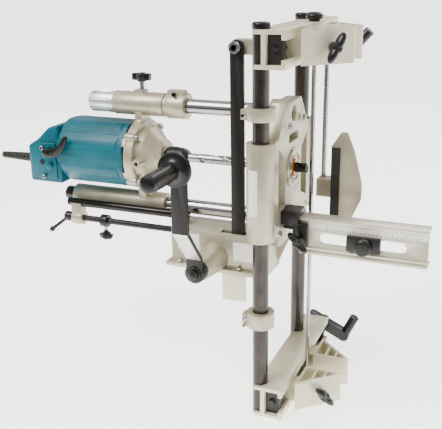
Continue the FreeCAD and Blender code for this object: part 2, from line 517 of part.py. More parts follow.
def carriage():
    """The carriage casting with its rail bushes and the cutter's guide ring."""
    top = UPPER_ROD_Z + ROD_BOSS_RADIUS
    plate = box(PLATE_LEFT, PLATE_RIGHT, -RAIL_Y, RAIL_Y, SLEEVE_LOW, SLEEVE_HIGH)
    head_half = 38.0
    shoulder = prism([Vector(PLATE_LEFT, y, z) for y, z in (
        (-RAIL_Y + SLEEVE_RADIUS + 3.0, SLEEVE_HIGH - 1.0), (-head_half, top), (head_half, top),
        (RAIL_Y - SLEEVE_RADIUS - 3.0, SLEEVE_HIGH - 1.0))], Vector(PLATE_THICKNESS, 0, 0))
    skirt = box(PLATE_LEFT, PLATE_RIGHT, HOUSING_FRONT - 7.5, HOUSING_REAR + 26.0, HOUSING_TOP - 6.0,
                SLEEVE_LOW + 1.0)
    gusset = prism([Vector(x, 0.0, z) for x, z in (
        (PLATE_LEFT, HOUSING_TOP - 5.0), (PLATE_RIGHT, HOUSING_TOP - 5.0), (PLATE_LEFT, HOUSING_LOW + 6.0))],
        Vector(0, 6.0, 0))
    sleeves = [rod_z(SLEEVE_RADIUS, SLEEVE_LOW, SLEEVE_HIGH, RAIL_X, y) for y in (-RAIL_Y, RAIL_Y)]
    bosses = [
        rod_x(ROD_BOSS_RADIUS, PLATE_LEFT - 12.0, PLATE_RIGHT, 0, UPPER_ROD_Z),
        rod_x(ROD_BOSS_RADIUS - 2.0, PLATE_LEFT - 12.0, PLATE_RIGHT, 0, LOWER_ROD_Z),
        rod_x(RING_RADIUS + 6.0, PLATE_LEFT - 8.0, PLATE_RIGHT, 0, SPINDLE_HEIGHT),
    ]
    body = join(plate, shoulder, skirt, gusset, *sleeves, *bosses)
    # pockets lighten the door side: tall ones beside the ring, with a slanted end, and one under the bore
    pocket = 14.0
    ring_side = RING_RADIUS + 10.0
    rail_side = RAIL_Y - 26.5
    low = SPINDLE_HEIGHT - 66.0
    high = SPINDLE_HEIGHT + 46.0
    depth = Vector(pocket + 1, 0, 0)
    for side in (-1, 1):
        outline = [(ring_side, low + 14.0), (rail_side, low), (rail_side, high), (ring_side, high - 22.0)]
        corners = [Vector(PLATE_RIGHT - pocket, side * y, z) for y, z in outline]
        body = body.cut(prism(corners, depth))
    body = body.cut(box(PLATE_RIGHT - pocket, PLATE_RIGHT + 1, -24.0, 24.0, SLEEVE_HIGH - 17.0,
                        SLEEVE_HIGH - 3.0))
    for y in (-RAIL_Y, RAIL_Y):
        body = body.cut(rod_z(RAIL_RADIUS + 1.0, SLEEVE_LOW - 1, SLEEVE_HIGH + 1, RAIL_X, y))
        for z in (SLEEVE_LOW, SLEEVE_HIGH - BUSH_LENGTH):
            body = body.cut(rod_z(BUSH_RADIUS, z, z + BUSH_LENGTH, RAIL_X, y))
    body = body.cut(rod_x(RAIL_RADIUS + RUN, PLATE_LEFT - 20.0, PLATE_RIGHT + 1, 0, UPPER_ROD_Z))
    body = body.cut(rod_x(RAIL_RADIUS, PLATE_LEFT - 20.0, PLATE_RIGHT - 6.0, 0, LOWER_ROD_Z))
    body = body.cut(rod_x(RING_RADIUS, PLATE_LEFT - 20.0, PLATE_RIGHT + 1, 0, SPINDLE_HEIGHT))
    keep("carriage_casting", body)
    bushes = []
    for y in (-RAIL_Y, RAIL_Y):
        for z in (SLEEVE_LOW, SLEEVE_HIGH - BUSH_LENGTH):
            bush = rod_z(BUSH_RADIUS, z, z + BUSH_LENGTH, RAIL_X, y)
            bushes.append(bush.cut(rod_z(RAIL_RADIUS + RUN, z - 1, z + BUSH_LENGTH + 1, RAIL_X, y)))
    keep("rail_bushes", *bushes)
    ring = rod_x(RING_RADIUS, PLATE_LEFT - 8.0, PLATE_RIGHT + 3.0, 0, SPINDLE_HEIGHT)
    ring = ring.cut(rod_x(GUIDE_RADIUS, PLATE_LEFT - 9.0, PLATE_RIGHT + 4.0, 0, SPINDLE_HEIGHT))
    bush = rod_x(GUIDE_RADIUS, PLATE_LEFT - 8.0, PLATE_RIGHT + 5.0, 0, SPINDLE_HEIGHT)
    bush = bush.cut(rod_x(CUTTER_RADIUS + RUN, PLATE_LEFT - 9.0, PLATE_RIGHT + 6.0, 0, SPINDLE_HEIGHT))
    keep("cutter_guide", ring, bush)
    low_bolt = RAIL_Y - SLEEVE_RADIUS + 3.5
    places = [(PLATE_RIGHT, y, z) for y, z in (
        (-head_half, SLEEVE_HIGH + 14.5), (head_half, SLEEVE_HIGH + 14.5),
        (-low_bolt, SLEEVE_LOW + 7.0), (low_bolt, SLEEVE_LOW + 7.0))]
    heads = [rod_x(5.0, x, x + 4.0, y, z) for x, y, z in places]
    for x in (HOUSING_LEFT + 16.0, HOUSING_LEFT + 124.0, HOUSING_RIGHT - 12.0):
        heads.append(rod_z(3.5, HOUSING_LOW + 7.0, HOUSING_LOW + 10.0, x, HOUSING_FRONT - 4.5))
    keep("carriage_bolts", *heads)


TIE_ROD_RADIUS = 7.5
TIE_ROD_Y = -(LOWER_SLEEVE_RADIUS + TIE_ROD_RADIUS + 3.5)
TIE_ROD_Z = LOWER_ROD_Z - 6.0
STOP_SCREW_RADIUS = 5.75
STOP_SCREW_Z = TIE_ROD_Z - 29.0
ROD_TAIL = RAIL_X - 415.0
TAIL_LEFT = RAIL_X - 386.0
TAIL_RIGHT = TAIL_LEFT + 20.0
STOP_SCREW_LEFT = TAIL_LEFT - 18.0


def lower_rods():
    """The fixed lower guide rod, the tie rod, the tail bracket and the stop screw it carries."""
    keep("lower_guide_rod", rod_x(RAIL_RADIUS, ROD_TAIL, PLATE_RIGHT - 6.0, 0, LOWER_ROD_Z))
    tie_left = TAIL_LEFT - 9.0
    tie = rod_x(TIE_ROD_RADIUS, tie_left, HOUSING_LEFT + 20.0, TIE_ROD_Y, TIE_ROD_Z)
    keep("tie_rod", tie.cut(rod_x(3.0, tie_left - 1, tie_left + 12.0, TIE_ROD_Y, TIE_ROD_Z)))
    # the bracket hangs from the rod in a half-round seat, and its lower lobe holds the screw
    bracket = join(
        box(TAIL_LEFT, TAIL_RIGHT, TIE_ROD_Y - 9.0, TIE_ROD_Y + 9.0, STOP_SCREW_Z, TIE_ROD_Z),
        rod_x(12.5, TAIL_LEFT, TAIL_RIGHT, TIE_ROD_Y, STOP_SCREW_Z),
    )
    bracket = bracket.cut(rod_x(LOWER_SLEEVE_RADIUS + 1.0, TAIL_LEFT - 1, TAIL_RIGHT + 1, 0, LOWER_ROD_Z))
    bracket = bracket.cut(rod_x(TIE_ROD_RADIUS, TAIL_LEFT - 1, TAIL_RIGHT + 1, TIE_ROD_Y, TIE_ROD_Z))
    bracket = bracket.cut(rod_x(STOP_SCREW_RADIUS + RUN, TAIL_LEFT - 1, TAIL_RIGHT + 1, TIE_ROD_Y,
                                STOP_SCREW_Z))
    keep("tail_bracket", bracket)
    hub_right = TAIL_LEFT - GAP
    tommy_length = 50.0
    tommy = turned_x([(-tommy_length - 5.0, 2.5), (-tommy_length - 3.5, 4.5), (-tommy_length, 5.5),
                      (-tommy_length + 3.5, 4.5), (-tommy_length + 5.0, 3.0), (0, 3.0)], 0, 0)
    tommy.rotate(Vector(0, 0, 0), Y_AXIS, -37)
    tommy.translate(Vector(STOP_SCREW_LEFT + 6.0, TIE_ROD_Y, STOP_SCREW_Z))
    screw = join(
        rod_x(STOP_SCREW_RADIUS, STOP_SCREW_LEFT, HOUSING_LEFT + HOUSING_WALL - 1.0, TIE_ROD_Y, STOP_SCREW_Z),
        rod_x(9.0, STOP_SCREW_LEFT, hub_right, TIE_ROD_Y, STOP_SCREW_Z),
        tommy,
    )
    keep("stop_screw", screw)
    clamp_left = RAIL_X - 328.0
    clamp_right = clamp_left + 13.0
    clamp_radius = 11.0
    stem_low = STOP_SCREW_Z - clamp_radius - 6.0
    clamp_x = (clamp_left + clamp_right) / 2
    clamp = join(
        rod_x(clamp_radius, clamp_left, clamp_right, TIE_ROD_Y, STOP_SCREW_Z),
        rod_z(3.0, stem_low, STOP_SCREW_Z - STOP_SCREW_RADIUS - 1.0, clamp_x, TIE_ROD_Y),
    )
    clamp = clamp.cut(rod_x(STOP_SCREW_RADIUS + RUN, clamp_left - 1, clamp_right + 1, TIE_ROD_Y,
                            STOP_SCREW_Z))
    knob = wing_knob(11.0, 6.0, 13.0, 5.0)
    knob.rotate(Vector(0, 0, 0), Y_AXIS, 90)
    knob.translate(Vector(clamp_x, TIE_ROD_Y, stem_low))
    keep("stop_clamp", clamp, knob)


# ---------------------------------------------------------------- scale beam
BEAM_LEFT = 0.0
BEAM_LOW = BEAM_TOP - BEAM_HEIGHT
BEAM_LIP = 2.5                  # how far the raised edges stand out of the front face
BEAM_LIP_WIDTH = 5.0
SLOT_LEFT = 32.0
SLOT_RIGHT = 166.0
SLOT_Z = BEAM_LOW + 28.0
SLOT_HEIGHT = 17.0
STOP_X = 102.0


def beam():
    """The slotted scale beam on its bracket, with the stop that slides along the slot."""
    wall = 4.0
    body = box(BEAM_LEFT, BEAM_LEFT + BEAM_LENGTH, BEAM_FRONT, BEAM_BACK, BEAM_LOW, BEAM_TOP)
    body = body.cut(box(BEAM_LEFT - 1, BEAM_LEFT + BEAM_LENGTH + 1, BEAM_FRONT + wall, BEAM_BACK + 1,
                        BEAM_LOW + wall, BEAM_TOP - wall))
    end_radius = SLOT_HEIGHT / 2
    back = BEAM_FRONT + wall + 1
    body = body.cut(box(SLOT_LEFT + end_radius, SLOT_RIGHT - end_radius, BEAM_FRONT - 1, back,
                        SLOT_Z - end_radius, SLOT_Z + end_radius))
    for x in (SLOT_LEFT + end_radius, SLOT_RIGHT - end_radius):
        body = body.cut(rod_y(end_radius, BEAM_FRONT - 1, back, x, SLOT_Z))
    # raised lips along the upper and lower edges, and a shallow seat for the scale between them
    for z0, z1 in ((BEAM_TOP - BEAM_LIP_WIDTH, BEAM_TOP), (BEAM_LOW, BEAM_LOW + BEAM_LIP_WIDTH),
                   (BEAM_LOW + 9.0, BEAM_LOW + 11.5)):
        body = join(body, box(BEAM_LEFT, BEAM_LEFT + BEAM_LENGTH, BEAM_FRONT - BEAM_LIP, BEAM_FRONT, z0, z1))
    body = body.cut(box(BEAM_LEFT + 22.0, BEAM_LEFT + BEAM_LENGTH + 1, BEAM_FRONT - 1, BEAM_FRONT + 0.8,
                        BEAM_TOP - 19.0, BEAM_TOP - 8.0))
    keep("scale_beam", body)
    # the bracket's block stands beside the beam's end, and its leg carries the knob that holds the beam
    leg_front = BEAM_FRONT - 8.0
    bracket = join(
        box(PLATE_RIGHT, BEAM_LEFT, BEAM_FRONT - 14.0, BEAM_BACK, BEAM_TOP - 12.0, BEAM_TOP + 10.0),
        box(PLATE_RIGHT, BEAM_LEFT, BEAM_FRONT + 6.0, BEAM_BACK, SLEEVE_LOW + 2.0, BEAM_TOP - 11.0),
        box(BEAM_LEFT - 10.0, BEAM_LEFT + 14.0, leg_front, BEAM_FRONT, BEAM_LOW + 14.0, BEAM_TOP - 9.0),
        box(BEAM_LEFT - 10.0, BEAM_LEFT, leg_front, BEAM_BACK, BEAM_LOW + 14.0, BEAM_TOP - 9.0),
    )
    keep("beam_bracket", bracket)
    knob = wing_knob(19.0, 8.0, 21.0, 8.0)
    knob.rotate(Vector(0, 0, 0), X_AXIS, 40)
    knob.rotate(Vector(0, 0, 0), Z_AXIS, -90)
    knob.translate(Vector(BEAM_LEFT + 4.0, leg_front, BEAM_LOW + 26.0))
    keep("beam_knob", knob)
    block = join(
        box(STOP_X - 26.0, STOP_X + 26.0, BEAM_FRONT - 9.0, BEAM_FRONT - GAP, SLOT_Z - 12.0, SLOT_Z + 12.0),
        box(STOP_X - 12.0, STOP_X + 12.0, BEAM_FRONT - 1.0, BEAM_FRONT + wall + GAP,
            SLOT_Z - SLOT_HEIGHT / 2 + GAP, SLOT_Z + SLOT_HEIGHT / 2 - GAP),
        box(STOP_X - 16.0, STOP_X + 16.0, BEAM_FRONT + wall + GAP, BEAM_FRONT + wall + 7.0, SLOT_Z - 15.0,
            SLOT_Z + 15.0),
    )
    keep("stop_block", block)
    face = BEAM_FRONT - 9.0
    keep("stop_knob", turned_y([(face - 15.0, 11.0), (face - 13.0, 13.0), (face - 4.0, 13.0),
                                (face - 3.0, 7.0),
                                (face, 7.0)], STOP_X + 2.0, SLOT_Z))


# ---------------------------------------------------------------- motor head
HEAD_X = RAIL_X - 206.0         # the right-hand end of the upper sleeve
SLEEVE_X = RAIL_X - 300.0
FLANGE_LEFT = RAIL_X - 260.0
FLANGE_RIGHT = FLANGE_LEFT + 16.0
FLANGE_RADIUS = MOTOR_RADIUS + 1.0
NOSE_RIGHT = RAIL_X - 207.0
MOTOR_LEFT = FLANGE_LEFT - MOTOR_LENGTH
CAP_LEFT = MOTOR_LEFT - 66.0
SHAFT = 7.0
CHUCK_LEFT = RAIL_X - 204.0
CHUCK_RIGHT = RAIL_X - 166.0
CUTTER_TIP = RAIL_X + 42.0
STRUT_HALF = 16.0
FLANGE_BOLTS = [(y * (MOTOR_RADIUS - 13.0), SPINDLE_HEIGHT + z * (MOTOR_RADIUS - 21.0))
                for y in (-1, 1) for z in (-1, 1)]
BORE_RADIUS = 13.0


def head_frame():
    """The head casting with its sleeves, rod, depth collar and the knobs on top."""
    axis = SPINDLE_HEIGHT
    sleeve = rod_x(UPPER_SLEEVE_RADIUS, SLEEVE_X, HEAD_X, 0, UPPER_ROD_Z)
    cone = turned_x([(FLANGE_LEFT, FLANGE_RADIUS), (FLANGE_RIGHT, FLANGE_RADIUS),
                     (FLANGE_RIGHT, MOTOR_RADIUS - 8.0), (FLANGE_RIGHT + 12.0, MOTOR_RADIUS - 11.0),
                     (NOSE_RIGHT - 10.0, 31.0), (NOSE_RIGHT, 26.0)], 0, axis)
    # the strut is a plate in the flange's plane, which widens from the sleeve down to the flange
    strut_outline = [(-STRUT_HALF, UPPER_ROD_Z), (STRUT_HALF, UPPER_ROD_Z),
                     (STRUT_HALF, axis + FLANGE_RADIUS + 2.0), (MOTOR_RADIUS - 8.0, axis + 30.0),
                     (8.0 - MOTOR_RADIUS, axis + 30.0), (-STRUT_HALF, axis + FLANGE_RADIUS + 2.0)]
    strut = prism([Vector(FLANGE_LEFT + 2.0, y, z) for y, z in strut_outline], Vector(12.0, 0, 0))
    saddle = box(FLANGE_LEFT + 2.0, FLANGE_RIGHT, -16.0, 16.0, LOWER_ROD_Z + 8.0, axis - 30.0)
    # a brush boss stands out of each side of the cone, with a blind hole for its cap
    boss_x = FLANGE_RIGHT + 9.0
    boss_z = axis - 3.0
    boss_end = FLANGE_RADIUS + 2.0
    boss_root = FLANGE_RADIUS - 26.0
    bosses = [rod_y(8.0, -boss_end, -boss_root, boss_x, boss_z), rod_y(8.0, boss_root, boss_end, boss_x, boss_z)]
    boss_holes = [rod_y(3.5, side * boss_end - 6.0, side * boss_end + 6.0, boss_x, boss_z) for side in (-1, 1)]
    pad = box(RAIL_X - 262.0, RAIL_X - 244.0, -9.0, 9.0, UPPER_ROD_Z, UPPER_ROD_Z + UPPER_SLEEVE_RADIUS + 4.0)
    ears = [rod_x(7.0, FLANGE_LEFT, FLANGE_RIGHT + 2.0, y, z) for y, z in FLANGE_BOLTS]
    body = join(sleeve, cone, strut, saddle, pad, *ears, *bosses)
    for hole in boss_holes:
        body = body.cut(hole)
    body = body.cut(rod_x(RAIL_RADIUS, SLEEVE_X - 1, HEAD_X + 1, 0, UPPER_ROD_Z))
    body = body.cut(rod_x(LOWER_SLEEVE_RADIUS, FLANGE_LEFT - 20.0, NOSE_RIGHT + 20.0, 0, LOWER_ROD_Z))
    hollow = turned_x([(FLANGE_LEFT - 1, MOTOR_RADIUS - 7.0), (FLANGE_LEFT + 10.0, MOTOR_RADIUS - 7.0),
                       (FLANGE_RIGHT + 4.0, MOTOR_RADIUS - 17.0), (NOSE_RIGHT - 16.0, 22.0)], 0, axis)
    body = body.cut(hollow).cut(rod_x(BORE_RADIUS, FLANGE_LEFT, NOSE_RIGHT + 1, 0, axis))
    keep("head_casting", body)
    keep("upper_guide_rod", rod_x(RAIL_RADIUS, SLEEVE_X, PLATE_RIGHT - 5.0, 0, UPPER_ROD_Z))
    lower = rod_x(LOWER_SLEEVE_RADIUS, RAIL_X - 395.0, RAIL_X - 209.0, 0, LOWER_ROD_Z)
    keep("lower_sleeve", lower.cut(rod_x(RAIL_RADIUS + RUN, RAIL_X - 396.0, RAIL_X - 208.0, 0, LOWER_ROD_Z)))
    collar_left = RAIL_X - 199.0
    collar_right = PLATE_LEFT - 12.0 - PLUNGE - GAP
    collar = join(
        rod_x(SLEEVE_RADIUS, collar_left, collar_right, 0, UPPER_ROD_Z),
        box(collar_left + 2.0, collar_right - 2.0, -12.0, 3.0, UPPER_ROD_Z + 12.0, UPPER_ROD_Z + 27.0),
    )
    collar = collar.cut(box(collar_left - 1, collar_right + 1, -5.5, -3.5, UPPER_ROD_Z + 5.0,
                            UPPER_ROD_Z + 28.0))
    collar = collar.cut(rod_x(RAIL_RADIUS, collar_left - 1, collar_right + 1, 0, UPPER_ROD_Z))
    buffer = rod_x(RAIL_RADIUS + 5.0, HEAD_X, collar_left, 0, UPPER_ROD_Z)
    keep("depth_collar", collar, buffer.cut(rod_x(RAIL_RADIUS, HEAD_X - 1, collar_left + 1, 0, UPPER_ROD_Z)))
    knob_left = SLEEVE_X - 51.0
    knob = turned_x([(knob_left, 12.0), (knob_left + 3.0, 16.5), (SLEEVE_X - 10.0, 17.0),
                     (SLEEVE_X - GAP, 18.5)], 0, UPPER_ROD_Z)
    flutes = 14
    for i in range(flutes):
        angle = 2 * math.pi * i / flutes
        y = 18.6 * math.cos(angle)
        z = UPPER_ROD_Z + 18.6 * math.sin(angle)
        knob = knob.cut(rod_x(2.6, knob_left - 1, SLEEVE_X - 12.0, y, z))
    keep("fluted_knob", knob)
    base = UPPER_ROD_Z + UPPER_SLEEVE_RADIUS + 4.0
    tee = join(
        turned_z([(base, 4.0), (base + 16.0, 4.0)], RAIL_X - 250.0, 0),
        turned_z([(base + 14.0, 8.0), (base + 26.0, 9.0), (base + 28.0, 7.0)], RAIL_X - 250.0, 0),
        box(RAIL_X - 266.0, RAIL_X - 234.0, -5.0, 5.0, base + 16.0, base + 27.0),
    )
    keep("sleeve_clamp_knob", tee)


def motor():
    """The motor: front and rear housings, switch lever, cord guard, stator, bearings and rotor."""
    axis = SPINDLE_HEIGHT
    wall = 5.0
    barrel = turned_x([(MOTOR_LEFT, MOTOR_RADIUS - 6.0), (MOTOR_LEFT + 6.0, MOTOR_RADIUS),
                       (FLANGE_LEFT, MOTOR_RADIUS)], 0, axis)
    barrel = barrel.cut(rod_x(MOTOR_RADIUS - wall - 3.0, MOTOR_LEFT + 8.0, FLANGE_LEFT + 1, 0, axis))
    barrel = barrel.cut(rod_x(12.0, MOTOR_LEFT - 1, MOTOR_LEFT + 9.0, 0, axis))
    keep("motor_housing", barrel)
    half = MOTOR_RADIUS - 11.0
    low = axis - MOTOR_RADIUS + 2.5
    side = [(CAP_LEFT, low), (CAP_LEFT, axis + 9.0), (CAP_LEFT + 22.0, axis + 22.0),
            (CAP_LEFT + 46.0, axis + MOTOR_RADIUS - 15.0), (MOTOR_LEFT, axis + MOTOR_RADIUS - 9.0),
            (MOTOR_LEFT, low)]
    cap = prism([Vector(x, -half, z) for x, z in side], Vector(0, 2 * half, 0))
    inner = [(CAP_LEFT + wall, low + wall), (CAP_LEFT + wall, axis + 6.0), (CAP_LEFT + 25.0, axis + 17.0),
             (CAP_LEFT + 48.0, axis + MOTOR_RADIUS - 21.0), (MOTOR_LEFT + 1, axis + MOTOR_RADIUS - 19.0),
             (MOTOR_LEFT + 1, low + wall)]
    cap = cap.cut(prism([Vector(x, -half + wall, z) for x, z in inner], Vector(0, 2 * (half - wall), 0)))
    keep("motor_rear_cap", cap)
    boot_y = -4.0
    boot_z = axis - 25.5
    boot_left = CAP_LEFT - 92.0
    boot = turned_x([(boot_left, 6.0), (CAP_LEFT - 26.0, 8.5), (CAP_LEFT, 10.0)], boot_y, boot_z)
    keep("cord_guard", boot)
    pivot = Vector(CAP_LEFT + 50.0, -half, axis + 2.0)
    outer = -MOTOR_RADIUS - 7.0
    plate = rod_y(8.0, outer, -half - GAP, pivot.x, pivot.z)
    path = [(0, 0), (12.0, 1.0), (24.0, 6.0), (33.0, 15.0), (40.0, 27.0)]
    pieces = [plate]
    for (x0, z0), (x1, z1) in zip(path[:-1], path[1:]):
        length = math.hypot(x1 - x0, z1 - z0)
        stick = box(0, length, outer, outer + 6.0, -6.0, 6.0)
        stick.rotate(Vector(0, 0, 0), Y_AXIS, -math.degrees(math.atan2(z1 - z0, x1 - x0)))
        stick.translate(Vector(pivot.x + x0, 0, pivot.z + z0))
        pieces.append(stick)
        pieces.append(rod_y(6.0, outer, outer + 6.0, pivot.x + x1, pivot.z + z1))
    keep("switch_lever", join(*pieces))
    heads = [rod_y(4.0, -half - 2.0, -half, CAP_LEFT + x, z) for x,
             z in ((34.0, axis + 8.0), (34.0, low + 13.0))]
    heads += [rod_x(4.5, FLANGE_RIGHT + 2.0, FLANGE_RIGHT + 6.0, y, z) for y, z in FLANGE_BOLTS]
    keep("head_screws", *heads)
    stator_left = MOTOR_LEFT + 34.0
    stator_right = FLANGE_LEFT - 8.0
    stator = rod_x(MOTOR_RADIUS - wall - 3.0, stator_left, stator_right, 0, axis)
    keep("motor_stator", stator.cut(rod_x(30.0, stator_left - 1, stator_right + 1, 0, axis)))
    rear = MOTOR_LEFT + 2.0
    front = NOSE_RIGHT - 14.0
    bearings = []
    for x in (rear - 2.0, front):
        ring = rod_x(12.0 if x < front else BORE_RADIUS, x, x + 8.0, 0, axis)
        bearings.append(ring.cut(rod_x(SHAFT + RUN, x - 1, x + 9.0, 0, axis)))
    keep("motor_bearings", *bearings)
    rotor = join(
        rod_x(SHAFT, MOTOR_LEFT - 2.0, CHUCK_LEFT + 1.0, 0, axis),
        rod_x(28.0, stator_left + 4.0, stator_right - 4.0, 0, axis),
        rod_x(17.0, stator_left - 18.0, stator_left - 2.0, 0, axis),
        rod_x(24.0, stator_right + 4.0, stator_right + 9.0, 0, axis),
    )
    chuck = turned_x([(CHUCK_LEFT + 1.0, 16.0), (CHUCK_LEFT + 12.0, 17.0), (CHUCK_RIGHT - 8.0, 15.0),
                      (CHUCK_RIGHT, 11.0)], 0, axis)
    keep("motor_spindle", join(rotor, chuck))
    keep("cutter", rod_x(CUTTER_RADIUS, CHUCK_RIGHT, CUTTER_TIP, 0, axis))


def main():
    """Build every sub-part and write one STEP file for each."""
    rails()
    clamps()
    stops()
    keep("frame_screws", *collars(), link())
    housing()
    lever()
    carriage()
    lower_rods()
    beam()
    head_frame()
    motor()
    os.makedirs("parts", exist_ok=True)
    for name, shape in PIECES.items():
        shape.exportStep("parts/" + name + ".step")
        print(name, len(shape.Solids), round(shape.Volume), shape.isValid())


main()
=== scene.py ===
"""Looks of a portable lock mortising rig: motor head, carriage, rails, door clamps and scale beam.

Every sub-assembly is a class with its sizes in millimetres. A piece is shaped with bmesh operators
in millimetres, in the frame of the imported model, and is scaled to metres when it is finished.
"""
from __future__ import annotations

import json
import logging
import math
from collections.abc import Iterable, Sequence
from dataclasses import dataclass, field
from enum import Enum
from typing import ClassVar

import bmesh
import bpy
from mathutils import Matrix, Vector


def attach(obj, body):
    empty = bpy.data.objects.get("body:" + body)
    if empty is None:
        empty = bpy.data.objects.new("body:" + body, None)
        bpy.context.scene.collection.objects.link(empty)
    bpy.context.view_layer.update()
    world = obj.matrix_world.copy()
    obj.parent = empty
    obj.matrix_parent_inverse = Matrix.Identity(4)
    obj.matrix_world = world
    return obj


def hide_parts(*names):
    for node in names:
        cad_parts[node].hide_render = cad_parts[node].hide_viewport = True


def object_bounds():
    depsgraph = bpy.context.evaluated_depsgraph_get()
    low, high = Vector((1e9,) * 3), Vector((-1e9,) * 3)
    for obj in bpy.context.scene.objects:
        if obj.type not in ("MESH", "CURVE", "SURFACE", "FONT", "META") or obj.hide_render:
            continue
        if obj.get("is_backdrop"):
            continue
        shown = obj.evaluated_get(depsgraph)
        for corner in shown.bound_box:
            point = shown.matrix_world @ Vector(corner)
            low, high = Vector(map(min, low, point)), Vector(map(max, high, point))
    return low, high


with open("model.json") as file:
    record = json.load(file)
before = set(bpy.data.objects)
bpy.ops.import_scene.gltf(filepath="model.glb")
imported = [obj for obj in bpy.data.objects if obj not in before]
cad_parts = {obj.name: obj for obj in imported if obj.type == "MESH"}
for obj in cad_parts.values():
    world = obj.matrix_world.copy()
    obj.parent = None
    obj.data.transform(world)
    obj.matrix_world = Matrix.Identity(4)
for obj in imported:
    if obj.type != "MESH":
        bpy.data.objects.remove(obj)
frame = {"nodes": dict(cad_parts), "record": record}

LOG = logging.getLogger("mortising_rig")
MM = 0.001
MERGE = 0.0001  # mm, vertices closer than this are one
PATCH_MM = 40.0  # size of the broad patches in a material's colour
Point = tuple[float, float, float]
Profile = Sequence[tuple[float, float]]

# places on the rig, in millimetres, that several classes share
SPINDLE_Z = 85.5
ROD_OFFSET = 87.5  # from the spindle up and down to the guide rods
UPPER_ROD_Z = SPINDLE_Z + ROD_OFFSET
LOWER_ROD_Z = SPINDLE_Z - ROD_OFFSET
HUB_X = -145.0  # the hand lever's pivot
HUB_Z = -64.5
CLAMP_Z = 282.25  # the clamp screws, above and below the middle
STOP_Y = -30.0  # the depth stop's screw
STOP_Z = -37.0


# -------------------- finishes
class Grain(Enum):
    """How a surface was made, which sets the shape of its fine relief."""

    CAST = "cast"
    DRAWN = "drawn"
    TURNED = "turned"
    MOULDED = "moulded"


def linear(code: str) -> tuple[float, float, float, float]:
    """Turn an sRGB hex colour into linear values.

    Args:
        code: six hex digits, without a leading sign.

    Returns:
        Red, green, blue and an alpha of one.
    """
    values = [int(code[i:i + 2], 16) / 255 for i in (0, 2, 4)]
    red, green, blue = (v / 12.92 if v <= 0.04045 else ((v + 0.055) / 1.055) ** 2.4 for v in values)
    return red, green, blue, 1.0


def add_node(
    tree: bpy.types.NodeTree, kind: str, settings: dict[str, object], inputs: dict[str | int, object]
) -> bpy.types.Node:
    """Add one node with its settings, its fixed values and its links.

    Args:
        tree: the material's node tree.
        kind: the node's type name.
        settings: properties of the node.
        inputs: a value, or another node's output to link, for each input by name or number.

    Returns:
        The new node.
    """
    node = tree.nodes.new(kind)
    for name, value in settings.items():
        setattr(node, name, value)
    for name, value in inputs.items():
        if isinstance(value, bpy.types.NodeSocket):
            tree.links.new(value, node.inputs[name])
        else:
            node.inputs[name].default_value = value
    return node


